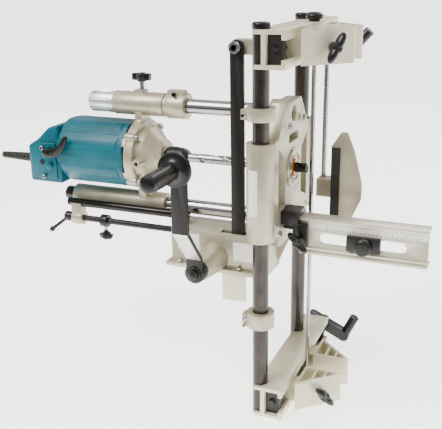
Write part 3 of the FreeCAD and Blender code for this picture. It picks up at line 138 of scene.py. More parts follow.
@dataclass(frozen=True)
class Finish:
    """One real material with its surface: colours, gloss, and relief of a real size."""

    name: str
    slot: str
    colour: str
    mottle: str  # second colour, in broad soft patches
    worn: str  # colour of handled edges
    metallic: float
    roughness: float
    spread: float  # how far the roughness wanders
    grain: Grain
    grain_mm: float  # spacing of the fine relief
    relief_mm: float  # its depth
    stretch: Point = (1.0, 1.0, 1.0)
    wear: float = 0.5
    shine: float = 0.5  # strength of the reflection of a surface that isn't metal

    def material(self) -> bpy.types.Material:
        """Return the node material, made the first time it is asked for."""
        return bpy.data.materials.get(self.name) or self._make()

    def _make(self) -> bpy.types.Material:
        """Build the node material.

        Returns:
            The new material.
        """
        material = bpy.data.materials.new(self.name)
        material.use_nodes = True
        tree = material.node_tree
        shader = tree.nodes["Principled BSDF"]
        place = add_node(tree, "ShaderNodeTexCoord", {}, {}).outputs["Object"]
        per_metre = 1.0 / (self.grain_mm * MM)
        spaced = add_node(tree, "ShaderNodeMapping", {}, {
            "Vector": place, "Scale": tuple(per_metre * s for s in self.stretch)}).outputs["Vector"]
        fine = self._relief(tree, spaced)
        broad = add_node(tree, "ShaderNodeTexNoise", {}, {
            "Vector": place, "Scale": 1.0 / (PATCH_MM * MM), "Detail": 4.0, "Roughness": 0.6}).outputs[0]
        patches = add_node(tree, "ShaderNodeMapRange", {}, {
            "Value": broad, "From Min": 0.35, "From Max": 0.65}).outputs[0]
        tint = add_node(tree, "ShaderNodeMix", {"data_type": "RGBA"}, {
            0: patches, 6: linear(self.colour), 7: linear(self.mottle)}).outputs[2]
        edge = add_node(tree, "ShaderNodeNewGeometry", {}, {}).outputs["Pointiness"]
        ridge = add_node(tree, "ShaderNodeMapRange", {}, {
            "Value": edge, "From Min": 0.53, "From Max": 0.62, "To Max": self.wear}).outputs[0]
        handled = add_node(tree, "ShaderNodeMath", {"operation": "MULTIPLY"}, {
            0: ridge, 1: broad}).outputs[0]
        worn = add_node(tree, "ShaderNodeMix", {"data_type": "RGBA"}, {
            0: handled, 6: tint, 7: linear(self.worn)}).outputs[2]
        tree.links.new(worn, shader.inputs["Base Color"])
        gloss = add_node(tree, "ShaderNodeMapRange", {}, {
            "Value": fine, "From Min": 0.3, "From Max": 0.7, "To Min": max(self.roughness - self.spread, 0.05),
            "To Max": self.roughness + self.spread}).outputs[0]
        tree.links.new(gloss, shader.inputs["Roughness"])
        bump = add_node(tree, "ShaderNodeBump", {}, {
            "Height": fine, "Distance": self.relief_mm * MM, "Strength": 1.0}).outputs[0]
        tree.links.new(bump, shader.inputs["Normal"])
        shader.inputs["Metallic"].default_value = self.metallic
        shader.inputs["Specular IOR Level"].default_value = self.shine
        return material

    def _relief(self, tree: bpy.types.NodeTree, place: bpy.types.NodeSocket) -> bpy.types.NodeSocket:
        """Add the nodes of the fine relief.

        Args:
            tree: the material's node tree.
            place: coordinates in which one unit is one grain.

        Returns:
            The output that holds the relief's height, from 0 to 1.
        """
        if self.grain is Grain.CAST:
            # sand casting: rounded pits between soft bumps
            pits = add_node(tree, "ShaderNodeTexVoronoi", {"feature": "SMOOTH_F1"}, {
                "Vector": place, "Scale": 1.0, "Smoothness": 1.0}).outputs["Distance"]
            bumps = add_node(tree, "ShaderNodeTexNoise", {}, {
                "Vector": place, "Scale": 0.5, "Detail": 3.0}).outputs[0]
            return add_node(tree, "ShaderNodeMix", {}, {0: 0.5, 2: pits, 3: bumps}).outputs[0]
        detail = {Grain.DRAWN: 2.0, Grain.TURNED: 1.0, Grain.MOULDED: 5.0}[self.grain]
        return add_node(tree, "ShaderNodeTexNoise", {}, {
            "Vector": place, "Scale": 1.0, "Detail": detail, "Roughness": 0.55}).outputs[0]


# Sand-cast aluminium under clear lacquer: warm grey, matt, with a fine pebbled skin.
CASTING = Finish("sand_cast_aluminium", "cast_aluminium", "BAB29A", "A49A82", "E2DCCB", 0.5, 0.38, 0.08,
    Grain.CAST, 2.2, 0.16)
# Extruded aluminium, pale anodised: cream white with faint draw lines along its length.
EXTRUSION = Finish("anodised_extrusion", "extruded_aluminium", "DAD4B8", "CBC3A2", "F0ECDA", 0.3, 0.36,
    0.06, Grain.DRAWN, 1.2, 0.03, stretch=(1.0, 0.02, 1.0))
BEAM_EXTRUSION = Finish("anodised_beam_extrusion", "extruded_aluminium", "D6D1BC", "C6C0A8", "F0ECDC", 0.35,
    0.34, 0.06, Grain.DRAWN, 1.2, 0.03, stretch=(0.02, 1.0, 1.0))
# Blackened ground bar: nearly black, brown in the light, with drawn lines along the rail.
RAIL = Finish("blackened_ground_rail", "ground_steel", "1A1512", "261E19", "6A625A", 0.55, 0.24, 0.06,
    Grain.DRAWN, 0.9, 0.02, stretch=(1.0, 1.0, 0.04))
# Hard-chromed ground bar: a mirror with the faintest grinding marks round it.
ROD = Finish("chromed_ground_rod", "ground_steel", "8A8A88", "747472", "D8D8DA", 1.0, 0.10, 0.03,
    Grain.DRAWN, 0.7, 0.004, stretch=(1.0, 0.2, 0.2))
# Blackened flat bar, oiled: brown-black with a dull gleam.
FLAT_BAR = Finish("blackened_flat_bar", "ground_steel", "14100D", "1D1713", "5A534C", 0.3, 0.40, 0.08,
    Grain.DRAWN, 1.0, 0.03, stretch=(1.0, 1.0, 0.04))
# Painted highlight: the blackened bar's slanted face, coloured bright grey where it catches the light, with a
# dark edge.
LEVER_HIGHLIGHT_PAINT = Finish("painted_highlight_bar", "ground_steel", "D8D6D0", "C4C2BC", "F0EEEA", 0.7, 0.35, 0.08,
    Grain.DRAWN, 1.0, 0.02, stretch=(1.0, 1.0, 0.04), wear=0.2)
# Blackened bar, polished and oiled: black with a sharp highlight.
OILED_ROD = Finish("oiled_black_rod", "ground_steel", "0E0C0B", "171411", "5A534C", 0.6, 0.16, 0.05,
    Grain.DRAWN, 0.9, 0.01, stretch=(0.04, 1.0, 1.0))
# Zinc-plated and ground steel: cool bright grey with fine lines.
BRIGHT = Finish("zinc_plated_steel", "bright_steel", "A2A29F", "8A8A87", "E0E0DE", 0.95, 0.24, 0.08,
    Grain.DRAWN, 0.8, 0.01, stretch=(0.3, 0.3, 0.3))
# Turned aluminium: satin, with tool rings across the axis.
TURNED = Finish("turned_aluminium", "turned_aluminium", "8C887C", "78746A", "C8C4B8", 0.8, 0.36, 0.08,
    Grain.TURNED, 0.9, 0.02, stretch=(1.0, 0.05, 0.05))
# Phosphated steel: black, faintly brown, dull.
BLACKED = Finish("phosphated_steel", "black_steel", "0B0A09", "14110F", "4A4640", 0.3, 0.40, 0.10,
    Grain.MOULDED, 0.8, 0.03)
# Moulded black nylon: spark-eroded grain, semi-matt.
BLACK_NYLON = Finish("moulded_black_nylon", "black_plastic", "060605", "0B0A09", "26231F", 0.0, 0.30, 0.07,
    Grain.MOULDED, 0.7, 0.05, wear=0.35, shine=0.4)
# Moulded glass-filled nylon in teal: satin, with a fine even grain.
TEAL_NYLON = Finish("moulded_teal_nylon", "teal_plastic", "005A68", "004E5A", "1A808C", 0.0, 0.36, 0.05,
    Grain.MOULDED, 0.9, 0.04, wear=0.3, shine=0.28)
# Soft moulded rubber: olive brown, matt.
RUBBER = Finish("moulded_rubber", "guard_rubber", "211D12", "18150D", "3C3726", 0.0, 0.58, 0.08,
    Grain.MOULDED, 0.8, 0.05)
PAD_RUBBER = Finish("ribbed_pad_rubber", "pad_rubber", "0C0B0A", "12110F", "2A2826", 0.0, 0.62, 0.08,
    Grain.MOULDED, 0.8, 0.05)
# Turned bronze: warm and satin.
BRONZE = Finish("turned_bronze", "bronze", "B06A1C", "94561A", "D8A050", 0.9, 0.3, 0.08,
    Grain.TURNED, 0.8, 0.01)
# Stacked electrical steel: dark grey with lamination lines.
LAMINATION = Finish("laminated_iron", "motor_iron", "4A4845", "3A3836", "6A6864", 0.8, 0.5, 0.08,
    Grain.TURNED, 0.7, 0.05, stretch=(1.0, 0.02, 0.02))
# The same castings where they are machined: brighter and smoother.
CASTING_FINE = Finish("machined_casting", "bright_steel", "ACA593", "9A927E", "DAD4C4", 0.85, 0.28, 0.06,
    Grain.TURNED, 0.9, 0.015, stretch=(1.0, 0.1, 0.1))
# Printed foil plate: flat white with a soft sheen.
FOIL = Finish("blank_foil_plate", "bright_steel", "ECEAE2", "DDDACF", "F6F5F0", 0.1, 0.45, 0.05,
    Grain.MOULDED, 0.6, 0.01)
# Filled engraving: dull dark grey.
ENGRAVED = Finish("filled_engraving", "black_steel", "3C3A36", "4A4843", "5A5852", 0.0, 0.6, 0.05,
    Grain.MOULDED, 0.8, 0.01)

BY_SLOT = {f.slot: f for f in (
    CASTING, EXTRUSION, RAIL, BRIGHT, TURNED, BLACKED, BLACK_NYLON, TEAL_NYLON, RUBBER, PAD_RUBBER, BRONZE,
    LAMINATION)}


# -------------------- shaping
class Shape:
    """A mesh being shaped in millimetres with bmesh operators."""

    replaced: ClassVar[set[str]] = set()  # CAD nodes that pieces stand for so far

    def __init__(self) -> None:
        """Start empty."""
        self.bm = bmesh.new()

    @classmethod
    def block(cls, x: tuple[float, float], y: tuple[float, float], z: tuple[float, float]) -> Shape:
        """Make a block between two corners.

        Args:
            x: lowest and highest x.
            y: lowest and highest y.
            z: lowest and highest z.

        Returns:
            The block.
        """
        shape = cls()
        size = Vector((x[1] - x[0], y[1] - y[0], z[1] - z[0]))
        made = bmesh.ops.create_cube(shape.bm, size=1.0)
        bmesh.ops.scale(shape.bm, vec=size, verts=made["verts"])
        return shape.move(((x[0] + x[1]) / 2, (y[0] + y[1]) / 2, (z[0] + z[1]) / 2))

    @classmethod
    def turned(cls, profile: Profile, steps: int = 48) -> Shape:
        """Turn a profile about the X axis.

        Args:
            profile: pairs of place along X and radius, from one closed end to the other.
            steps: how many flats go round.

        Returns:
            The turned shape, closed at both ends.
        """
        ends = [(profile[0][0], 0.0), *profile, (profile[-1][0], 0.0)]
        return cls._spun(ends, steps, closed=False)

    @classmethod
    def swept(cls, outline: Iterable[Point], path: Point) -> Shape:
        """Sweep a flat outline straight along a path.

        Args:
            outline: corners of the outline, in order.
            path: how far it goes in x, y and z.

        Returns:
            The closed prism.
        """
        shape = cls()
        face = shape.bm.faces.new([shape.bm.verts.new(corner) for corner in outline])
        made = bmesh.ops.extrude_face_region(shape.bm, geom=[face])
        moved = [g for g in made["geom"] if isinstance(g, bmesh.types.BMVert)]
        bmesh.ops.translate(shape.bm, vec=path, verts=moved)
        return shape.facing_out()

    @classmethod
    def tube(cls, loop: Profile, steps: int = 48) -> Shape:
        """Turn a closed outline about the X axis, which leaves a hole along it.

        Args:
            loop: pairs of place along X and radius, going round the wall's section.
            steps: how many flats go round.

        Returns:
            The ring.
        """
        return cls._spun(loop, steps, closed=True)

    @classmethod
    def _spun(cls, points: Profile, steps: int, closed: bool) -> Shape:
        """Spin a line of points all the way round the X axis.

        Args:
            points: pairs of place along X and radius.
            steps: how many flats go round.
            closed: whether the last point is joined to the first.

        Returns:
            The shape.
        """
        shape = cls()
        rim = [shape.bm.verts.new((x, 0.0, radius)) for x, radius in points]
        ahead = [*rim[1:], rim[0]] if closed else rim[1:]
        edges = [shape.bm.edges.new(pair) for pair in zip(rim, ahead)]
        bmesh.ops.spin(shape.bm, geom=[*rim, *edges], cent=(0, 0, 0), axis=(1, 0, 0), dvec=(0, 0, 0),
                       angle=math.tau, steps=steps, use_merge=True, use_duplicate=False)
        bmesh.ops.remove_doubles(shape.bm, verts=shape.bm.verts, dist=MERGE)
        return shape.facing_out()

    @classmethod
    def twisted(cls, section: Iterable[Point], step: float, steps: int, degrees: float) -> Shape:
        """Carry a section along X while it turns.

        Args:
            section: corners of the section, in a plane across X.
            step: how far it goes at each step.
            steps: how many steps.
            degrees: how far it turns in all.

        Returns:
            The twisted bar.
        """
        shape = cls()
        face = shape.bm.faces.new([shape.bm.verts.new(corner) for corner in section])
        bmesh.ops.spin(shape.bm, geom=[face], cent=(0, 0, 0), axis=(1, 0, 0), dvec=(step, 0, 0),
                       angle=math.radians(degrees), steps=steps, use_merge=False, use_duplicate=False)
        return shape.facing_out()

    @classmethod
    def fluted_bar(cls, x0: float, x1: float, radius: float, lead: float) -> Shape:
        """Make a round bar with two spiral flutes.

        Args:
            x0: where it starts.
            x1: where it ends.
            radius: its radius.
            lead: length of one turn.

        Returns:
            The bar.
        """
        points = 32
        section = []
        for i in range(points):
            angle = math.tau * i / points
            dip = max(0.0, math.cos(2 * angle) - 0.35) * 0.62
            reach = radius * (1.0 - dip)
            section.append((x0, reach * math.cos(angle), reach * math.sin(angle)))
        steps = max(8, int((x1 - x0) / 3))
        return cls.twisted(section, (x1 - x0) / steps, steps, 360.0 * (x1 - x0) / lead)

    @classmethod
    def thread(cls, x0: float, x1: float, core: float, crest: float, lead: float) -> Shape:
        """Make the ridge of one start of a thread. It is drawn coarser than a real one, so that it shows.

        Args:
            x0: where it starts.
            x1: where it ends.
            core: radius at its foot.
            crest: radius at its top.
            lead: how far it goes in one turn, negative for a left-handed thread.

        Returns:
            The ridge.
        """
        half = min(abs(lead), 6.0) * 0.26
        steps = max(12, int(12 * (x1 - x0) / abs(lead)))
        ridge = [(x0 - half, 0, core - 0.2), (x0 - half * 0.3, 0, crest), (x0 + half * 0.3, 0, crest),
                 (x0 + half, 0, core - 0.2)]
        return cls.twisted(ridge, (x1 - x0) / steps, steps, 360.0 * (x1 - x0) / lead)

    @classmethod
    def wing_knob(cls, length: float, stem: float, wing: float, thickness: float) -> Shape:
        """Make a two-lobed knob on its stud, along X from the origin.

        Args:
            length: the knob's height above the stud.
            stem: how much of the stud shows.
            wing: how far each lobe reaches from the axis.
            thickness: how thick a lobe is.

        Returns:
            The knob.
        """
        hub = cls.turned([(stem, 6.8), (stem + 1, 8), (stem + length * 0.5, 8.6),
                          (stem + length * 0.8, 7.4), (stem + length * 0.9, 5.0)], 32)
        stud = cls.turned([(0, 4.0), (stem + 2, 4.0)], 24)
        for side in (-1, 1):
            lobe = cls()
            bmesh.ops.create_uvsphere(lobe.bm, u_segments=28, v_segments=16, radius=1.0)
            lobe.stretched((length * 0.44, thickness * 0.62, wing * 0.60)).move((0, 0, side * wing * 0.40))
            hub.with_others(lobe.turn("X", 9.0).move((stem + length * 0.55, side * thickness * 0.10, 0)))
        return hub.with_others(stud)

    @classmethod
    def socket_head(cls, radius: float, height: float) -> Shape:
        """Make a screw head with a hexagonal socket, standing up along Z from the origin.

        Args:
            radius: the head's radius.
            height: its height.

        Returns:
            The head.
        """
        shape = cls()
        bm = shape.bm
        rings = []
        for segments, reach in ((24, radius), (24, radius - 0.5), (6, radius * 0.56)):
            made = bmesh.ops.create_circle(bm, cap_ends=False, segments=segments, radius=reach)
            rings.append(list({e for v in made["verts"] for e in v.link_edges}))
        bmesh.ops.translate(bm, vec=(0, 0, -0.5), verts=list({v for e in rings[0] for v in e.verts}))
        bmesh.ops.bridge_loops(bm, edges=rings[0] + rings[1])
        bmesh.ops.bridge_loops(bm, edges=rings[1] + rings[2])
        for ring, drop in ((rings[0], height - 0.5), (rings[2], height * 0.6)):
            made = bmesh.ops.extrude_edge_only(bm, edges=ring)["geom"]
            verts = [g for g in made if isinstance(g, bmesh.types.BMVert)]
            bmesh.ops.translate(bm, vec=(0, 0, -drop), verts=verts)
            bmesh.ops.edgeloop_fill(bm, edges=[g for g in made if isinstance(g, bmesh.types.BMEdge)
                                               and all(v in verts for v in g.verts)])
        return shape.move((0, 0, height)).facing_out()

    @classmethod
    def arc_plate(
        cls, radius: float, thickness: float, arc: tuple[float, float], height: tuple[float, float]
    ) -> Shape:
        """Make a thin plate bent round an upright cylinder.

        Args:
            radius: the cylinder's radius.
            thickness: the plate's thickness.
            arc: the angles of its two edges, in degrees from X.
            height: its lowest and highest z.

        Returns:
            The plate.
        """
        shape = cls()
        start, end = arc
        low, high = height
        inner, outer = radius - 0.1, radius + thickness
        face = shape.bm.faces.new([shape.bm.verts.new(c) for c in (
            (inner, 0, low), (outer, 0, low), (outer, 0, high), (inner, 0, high))])
        bmesh.ops.spin(shape.bm, geom=[face], cent=(0, 0, 0), axis=(0, 0, 1), dvec=(0, 0, 0),
                       angle=math.radians(end - start), steps=12, use_merge=False, use_duplicate=False)
        return shape.facing_out().turn("Z", start)

    def cut_away(self, at: Point, towards: Point) -> Shape:
        """Cut the shape with a plane and close the cut.

        Args:
            at: a point on the plane.
            towards: the side that is taken away.

        Returns:
            The same shape.
        """
        geometry = [*self.bm.verts, *self.bm.edges, *self.bm.faces]
        cut = bmesh.ops.bisect_plane(self.bm, geom=geometry, dist=MERGE, plane_co=Vector(at),
                                     plane_no=Vector(towards), clear_outer=True)["geom_cut"]
        bmesh.ops.edgeloop_fill(self.bm, edges=[g for g in cut if isinstance(g, bmesh.types.BMEdge)])
        return self

    def cut_flat(self, foot: Point) -> Shape:
        """Cut a flat square to the line from the origin to a point, at that point."""
        return self.cut_away(foot, foot)

    @classmethod
    def copy_of(cls, node: str) -> Shape:
        """Copy a CAD node's mesh, merged, with its flat faces made whole.

        Args:
            node: the node's name.

        Returns:
            The copy, in millimetres.
        """
        shape = cls()
        shape.bm.from_mesh(frame["nodes"][node].data)
        bmesh.ops.scale(shape.bm, vec=(1 / MM,) * 3, verts=shape.bm.verts)
        bmesh.ops.remove_doubles(shape.bm, verts=shape.bm.verts, dist=MERGE * 20)
        bmesh.ops.dissolve_limit(shape.bm, angle_limit=math.radians(0.6), verts=shape.bm.verts,
                                 edges=shape.bm.edges)
        return shape

    def facing_out(self) -> Shape:
        """Turn the faces outwards."""
        bmesh.ops.recalc_face_normals(self.bm, faces=self.bm.faces)
        return self

    def softened(self, width: float, segments: int = 2, sharper_than: float = 32.0) -> Shape:
        """Round the sharp edges.

        Args:
            width: how far the rounding reaches, in millimetres.
            segments: flats across it.
            sharper_than: edges that turn by more than this many degrees are rounded.

        Returns:
            The same shape.
        """
        limit = math.radians(sharper_than)
        edges = [e for e in self.bm.edges if e.is_manifold and e.calc_face_angle(0.0) > limit]
        bmesh.ops.bevel(self.bm, geom=edges, offset=width, offset_type="OFFSET", segments=segments,
                        profile=0.5, affect="EDGES", clamp_overlap=True, material=-1)
        return self

    def move(self, by: Point | Vector) -> Shape:
        """Move the shape."""
        bmesh.ops.translate(self.bm, vec=Vector(by), verts=self.bm.verts)
        return self

    def turn(self, axis: str, degrees: float) -> Shape:
        """Turn the shape about an axis through the origin.

        Args:
            axis: X, Y or Z.
            degrees: the angle.

        Returns:
            The same shape.
        """
        matrix = Matrix.Rotation(math.radians(degrees), 3, axis)
        bmesh.ops.rotate(self.bm, cent=(0, 0, 0), matrix=matrix, verts=self.bm.verts)
        return self

    def stretched(self, by: Point) -> Shape:
        """Scale the shape about the origin."""
        bmesh.ops.scale(self.bm, vec=Vector(by), verts=self.bm.verts)
        return self.facing_out()

    def upright(self) -> Shape:
        """Stand a shape made along X up along Z."""
        return self.turn("Y", -90.0)

    def to_front(self) -> Shape:
        """Point a shape made along X to the front, along -Y."""
        return self.turn("Z", -90.0)

    def with_others(self, *others: Shape) -> Shape:
        """Take other shapes into this one.

        Args:
            others: the shapes, which can't be used afterwards.

        Returns:
            The same shape.
        """
        for other in others:
            mesh = bpy.data.meshes.new("passing")
            other.bm.to_mesh(mesh)
            other.bm.free()
            self.bm.from_mesh(mesh)
            bpy.data.meshes.remove(mesh)
        return self

    def piece(
        self, name: str, body: str, finish: Finish, replaces: Sequence[str] = (), smooth_under: float = 38.0
    ) -> None:
        """Finish the shape as a piece of the rig.

        Args:
            name: the piece's name.
            body: the body that it rides on.
            finish: its material.
            replaces: CAD nodes that it stands for.
            smooth_under: edges that turn by less than this many degrees are shaded smooth.
        """
        bmesh.ops.scale(self.bm, vec=(MM,) * 3, verts=self.bm.verts)
        limit = math.radians(smooth_under)
        for face in self.bm.faces:
            face.smooth = True
        for edge in self.bm.edges:
            edge.smooth = edge.calc_face_angle(0.0) < limit
        mesh = bpy.data.meshes.new(name)
        self.bm.to_mesh(mesh)
        self.bm.free()
        mesh.materials.append(finish.material())
        piece = bpy.data.objects.new(name, mesh)
        bpy.context.scene.collection.objects.link(piece)
        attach(piece, body)
        if replaces:
            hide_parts(*replaces)
            self.replaced.update(replaces)
        LOG.info("%s on %s, %d faces", name, body, len(mesh.polygons))


# -------------------- pieces that keep the CAD shape
@dataclass
class EasedParts:
    """Machined, cast and extruded parts whose shape is right and whose edges need easing."""

    body_of: dict[str, str]
    widths: dict[float, str] = field(default_factory=lambda: {
        0.5: "stop_bar tie_rod",
        0.7: "top_channel bottom_channel",
        0.8: "top_front_jaw top_rear_jaw bottom_front_jaw bottom_rear_jaw scale_beam lever_arm stop_block "
             "stop_clamp lower_sleeve crank_shaft rail_caps",
        1.0: "hanger_bracket stop_knob",
        1.2: "crank_housing upper_rail_collar lower_rail_collar depth_collar hanger_knob",
        1.5: "tail_bracket beam_bracket link_lug pressure_plate sleeve_clamp_knob",
        1.6: "head_casting",
        2.0: "carriage_casting top_crank bottom_crank"})
    special: dict[str, Finish] = field(default_factory=lambda: {
        "upper_guide_rod": ROD, "lower_guide_rod": ROD, "scale_beam": BEAM_EXTRUSION, "lower_sleeve": CASTING,
        "motor_spindle": BLACKED, "tie_rod": OILED_ROD, "depth_collar": CASTING, "link_lug": CASTING})

    def build(self, slots: dict[str, str]) -> None:
        """Ease each part that isn't made elsewhere, and dress the rest.

        Args:
            slots: the record's material slot of each node.
        """
        edges = {node: width for width, nodes in self.widths.items() for node in nodes.split()}
        for node, obj in frame["nodes"].items():
            if node in Shape.replaced:
                continue
            finish = self.special.get(node, BY_SLOT[slots[node]])
            if node in edges:
                Shape.copy_of(node).softened(edges[node]).piece(
                    node + "_eased", self.body_of[node], finish, [node])
            else:
                obj.data.materials.clear()
                obj.data.materials.append(finish.material())


# -------------------- motor
@dataclass
class Motor:
    """The motor's moulded shells, its switch lever, cord guard and a black ring of painted shade in the gap at
    the flange.
    """

    left: float = -443.0  # where the round barrel meets the rear cap
    right: float = -307.0
    cap_left: float = -509.0
    radius: float = 59.0
    steps: int = 72
    cap_half: float = 48.0
    cap_low: float = -56.5  # below the spindle
    panel_rise: float = 3.0  # how far the switch panel stands out of the cap
    boss_x: float = -282.0  # the brush bosses on the head casting
    boss_z: float = SPINDLE_Z - 3.0
    guard_left: float = -601.0
    guard_rings: int = 11
    guard_place: Point = (0.0, -4.0, SPINDLE_Z - 25.5)
    flats: Profile = ((180.0, 55.5), (135.0, 57.0), (90.0, 55.0), (0.0, 55.5), (225.0, 57.5))
    paddle: Profile = ((-8, 0), (-6, 5.5), (0, 8), (12, 8), (21, 11.5), (29, 18.5), (35, 27), (40, 33.5),
                       (43.5, 33), (45, 28), (42, 18), (36, 8), (27, -1), (15, -6.5), (0, -8), (-6, -5.5))

    def build(self) -> None:
        """Make the motor's visible pieces."""
        self._barrel()
        self._flange_gap()
        self._cap()
        self._cap_openings()
        self._switch()
        self._guard()

    def _barrel(self) -> None:
        """Make the barrel: round, with moulded flats, a seam along its side and a groove at its end."""
        x0, x1, r = self.left, self.right, self.radius
        barrel = Shape.turned([(x0 - 6, r - 9), (x0 + 2, r - 3), (x0 + 8, r), (x1 - 18, r), (x1 - 17, r - 1.6),
                               (x1 - 15, r - 1.6), (x1 - 14, r), (x1 - 6, r), (x1 - 5, r - 1)], self.steps)
        for degrees, reach in self.flats:
            angle = math.radians(degrees)
            barrel.cut_flat((0, reach * math.cos(angle), reach * math.sin(angle)))
        barrel.softened(1.6, 2, 16.0)
        seam = Shape.block((x0 + 9, x1 - 13), (-56.2, -54.9), (-0.8, 0.8)).softened(0.4, 1)
        rib = Shape.block((x0 + 12, x1 - 16), (-42, -39.5), (36.5, 40)).softened(0.8, 1)
        barrel.with_others(seam, rib).move((0, 0, SPINDLE_Z))
        barrel.piece("motor_barrel", "motor_head", TEAL_NYLON, ["motor_housing"])

    def _flange_gap(self) -> None:
        """Make the black ring behind the gap, painted shade for the gap's inside, the tabs that bridge it, and
        the plugs of the brush bosses.
        """
        x1, r = self.right, self.radius
        # a black ring inside the gap at the flange: painted shade where the gap lies in shadow
        ring = Shape.turned([(x1 - 6.5, r - 3.5), (x1 + 1.5, r - 3.5)], self.steps).move((0, 0, SPINDLE_Z))
        ring.piece("motor_gap_painted_shade", "motor_head", BLACK_NYLON)
        tabs = Shape()
        for i in range(6):
            tab = Shape.block((x1 - 6, x1 + 1), (-7, 7), (r - 5, r - 0.4)).softened(0.6, 2)
            tabs.with_others(tab.turn("X", 60.0 * i))
        tabs.move((0, 0, SPINDLE_Z)).piece("flange_tabs", "motor_head", CASTING)
        plugs = Shape()
        for degrees in (90, -90):
            plug = Shape.turned([(55.6, 3.4), (57.4, 3.4), (57.8, 3.0)], 24)
            plugs.with_others(plug.turn("Z", degrees))
        plugs.move((self.boss_x, 0, self.boss_z)).piece("brush_plugs", "motor_head", BLACK_NYLON)

    def _cap(self) -> None:
        """Make the rear cap with its raised switch panel and boss."""
        x, z, h = self.cap_left, SPINDLE_Z, self.cap_half
        low = z + self.cap_low
        side = [(x, low), (x, z + 9), (x + 22, z + 22), (x + 46, z + 44), (x + 67, z + 50), (x + 67, low)]
        cap = Shape.swept([(a, -h, b) for a, b in side], (0, 2 * h, 0)).softened(5.0, 4, 20.0)
        panel = [(x + 7, z - 48), (x + 7, z + 5), (x + 27, z + 17), (x + 60, z + 17), (x + 60, z - 48)]
        raised = Shape.swept([(a, -h - self.panel_rise, b) for a, b in panel], (0, self.panel_rise + 2, 0))
        raised.softened(1.6, 3, 20.0)
        boss = Shape.turned([(0, 6.0), (5.5, 5.6), (6.5, 4.2)], 24).to_front()
        boss.move((x + 48, -h - 2.5, z - 24))
        cap.with_others(raised, boss)
        cap.piece("motor_cap_shell", "motor_head", TEAL_NYLON, ["motor_rear_cap"])

    def _cap_openings(self) -> None:
        """Make the cap's vents, on its end and its back, as black slots of painted shade, and the plug in its
        panel.
        """
        x, z, h = self.cap_left, SPINDLE_Z, self.cap_half
        vents = Shape()
        # the vent slots are flat black patches: painted shade of the openings
        for y in (14, 20, 26, 32, 38):
            vents.with_others(Shape.block((x - 0.4, x + 1), (y, y + 3.0), (z - 46, z - 18)).softened(0.3, 1))
        for a in (x + 12, x + 18, x + 24, x + 30, x + 36):
            vents.with_others(Shape.block((a, a + 2.6), (h - 1, h + 0.3), (z - 44, z - 6)).softened(0.3, 1))
        vents.piece("motor_vent_painted_shade", "motor_head", BLACK_NYLON)
        plug = Shape.turned([(0, 5.0), (0.6, 5.0)], 24).to_front().move((x + 31, -h - self.panel_rise, z - 18))
        plug.piece("motor_panel_plug", "motor_head", BLACK_NYLON)

    def _switch(self) -> None:
        """Make the curved switch lever on its round pivot."""
        px, pz = self.cap_left + 50, SPINDLE_Z + 2
        paddle = Shape.swept([(px + a, -66.0, pz + b) for a, b in self.paddle], (0, 6.0, 0))
        paddle.softened(2.0, 3, 30.0)
        pivot = Shape.turned([(48.4, 8.0), (60, 8.0), (66.3, 7.5), (67.5, 5.5)], 32).to_front()
        paddle.with_others(pivot.move((px, 0, pz)))
        paddle.piece("switch_paddle", "switch_lever", BLACK_NYLON, ["switch_lever"])

    def _guard(self) -> None:
        """Make the tapered cord guard with its rings."""
        x = self.guard_left
        profile = [(x, 4.5), (x + 1.0, 5.8)]
        for i in range(self.guard_rings):
            a, r = x + 5.0 + 6.6 * i, 6.2 + 0.26 * i
            profile += [(a, r), (a + 2.6, r + 0.1), (a + 3.2, r - 1.2), (a + 5.6, r - 1.1)]
        profile += [(x + 79.0, 9.4), (self.cap_left - 3.0, 10.0), (self.cap_left + 1.0, 10.0)]
        guard = Shape.turned(profile, 32).move(self.guard_place)
        guard.piece("cord_guard_rings", "motor_head", RUBBER, ["cord_guard"])


# -------------------- drive: cutter and guide
@dataclass
class Drive:
    """The fluted cutter and the ring that guides it."""

    left: float = -213.0
    tip_left: float = -33.0
    right: float = -5.0
    radius: float = 8.0
    lead: float = 130.0  # length of one turn of the flutes
    ring: Profile = ((-60, 15), (-60, 31.9), (-27, 31.9), (-25.2, 30.2), (-25, 26), (-27.5, 24.5), (-27.5, 19),
                     (-25, 18), (-25, 15))
    bush: Profile = ((-60, 8.05), (-60, 15), (-23, 15), (-22.9, 13.5), (-22.9, 9.5), (-24, 8.05))

    def build(self) -> None:
        """Make the cutter and the guide."""
        up = (0, 0, SPINDLE_Z)
        shank_end = self.left + 22
        shank = Shape.fluted_bar(shank_end, self.tip_left, self.radius, self.lead)
        plain = Shape.turned([(self.left, 7.4), (self.left + 20, 7.4), (shank_end + 0.5, self.radius - 0.2)])
        shank.with_others(plain).move(up).piece("cutter_shank", "spindle", BRIGHT, ["cutter"])
        tip = Shape.fluted_bar(self.tip_left, self.right, self.radius, self.lead / 3)
        tip.move(up).piece("cutter_tip", "spindle", BLACKED)
        Shape.tube(self.ring, 64).move(up).piece("guide_ring", "carriage", CASTING_FINE, ["cutter_guide"])
        Shape.tube(self.bush, 48).move(up).piece("guide_bush", "carriage", BRONZE)


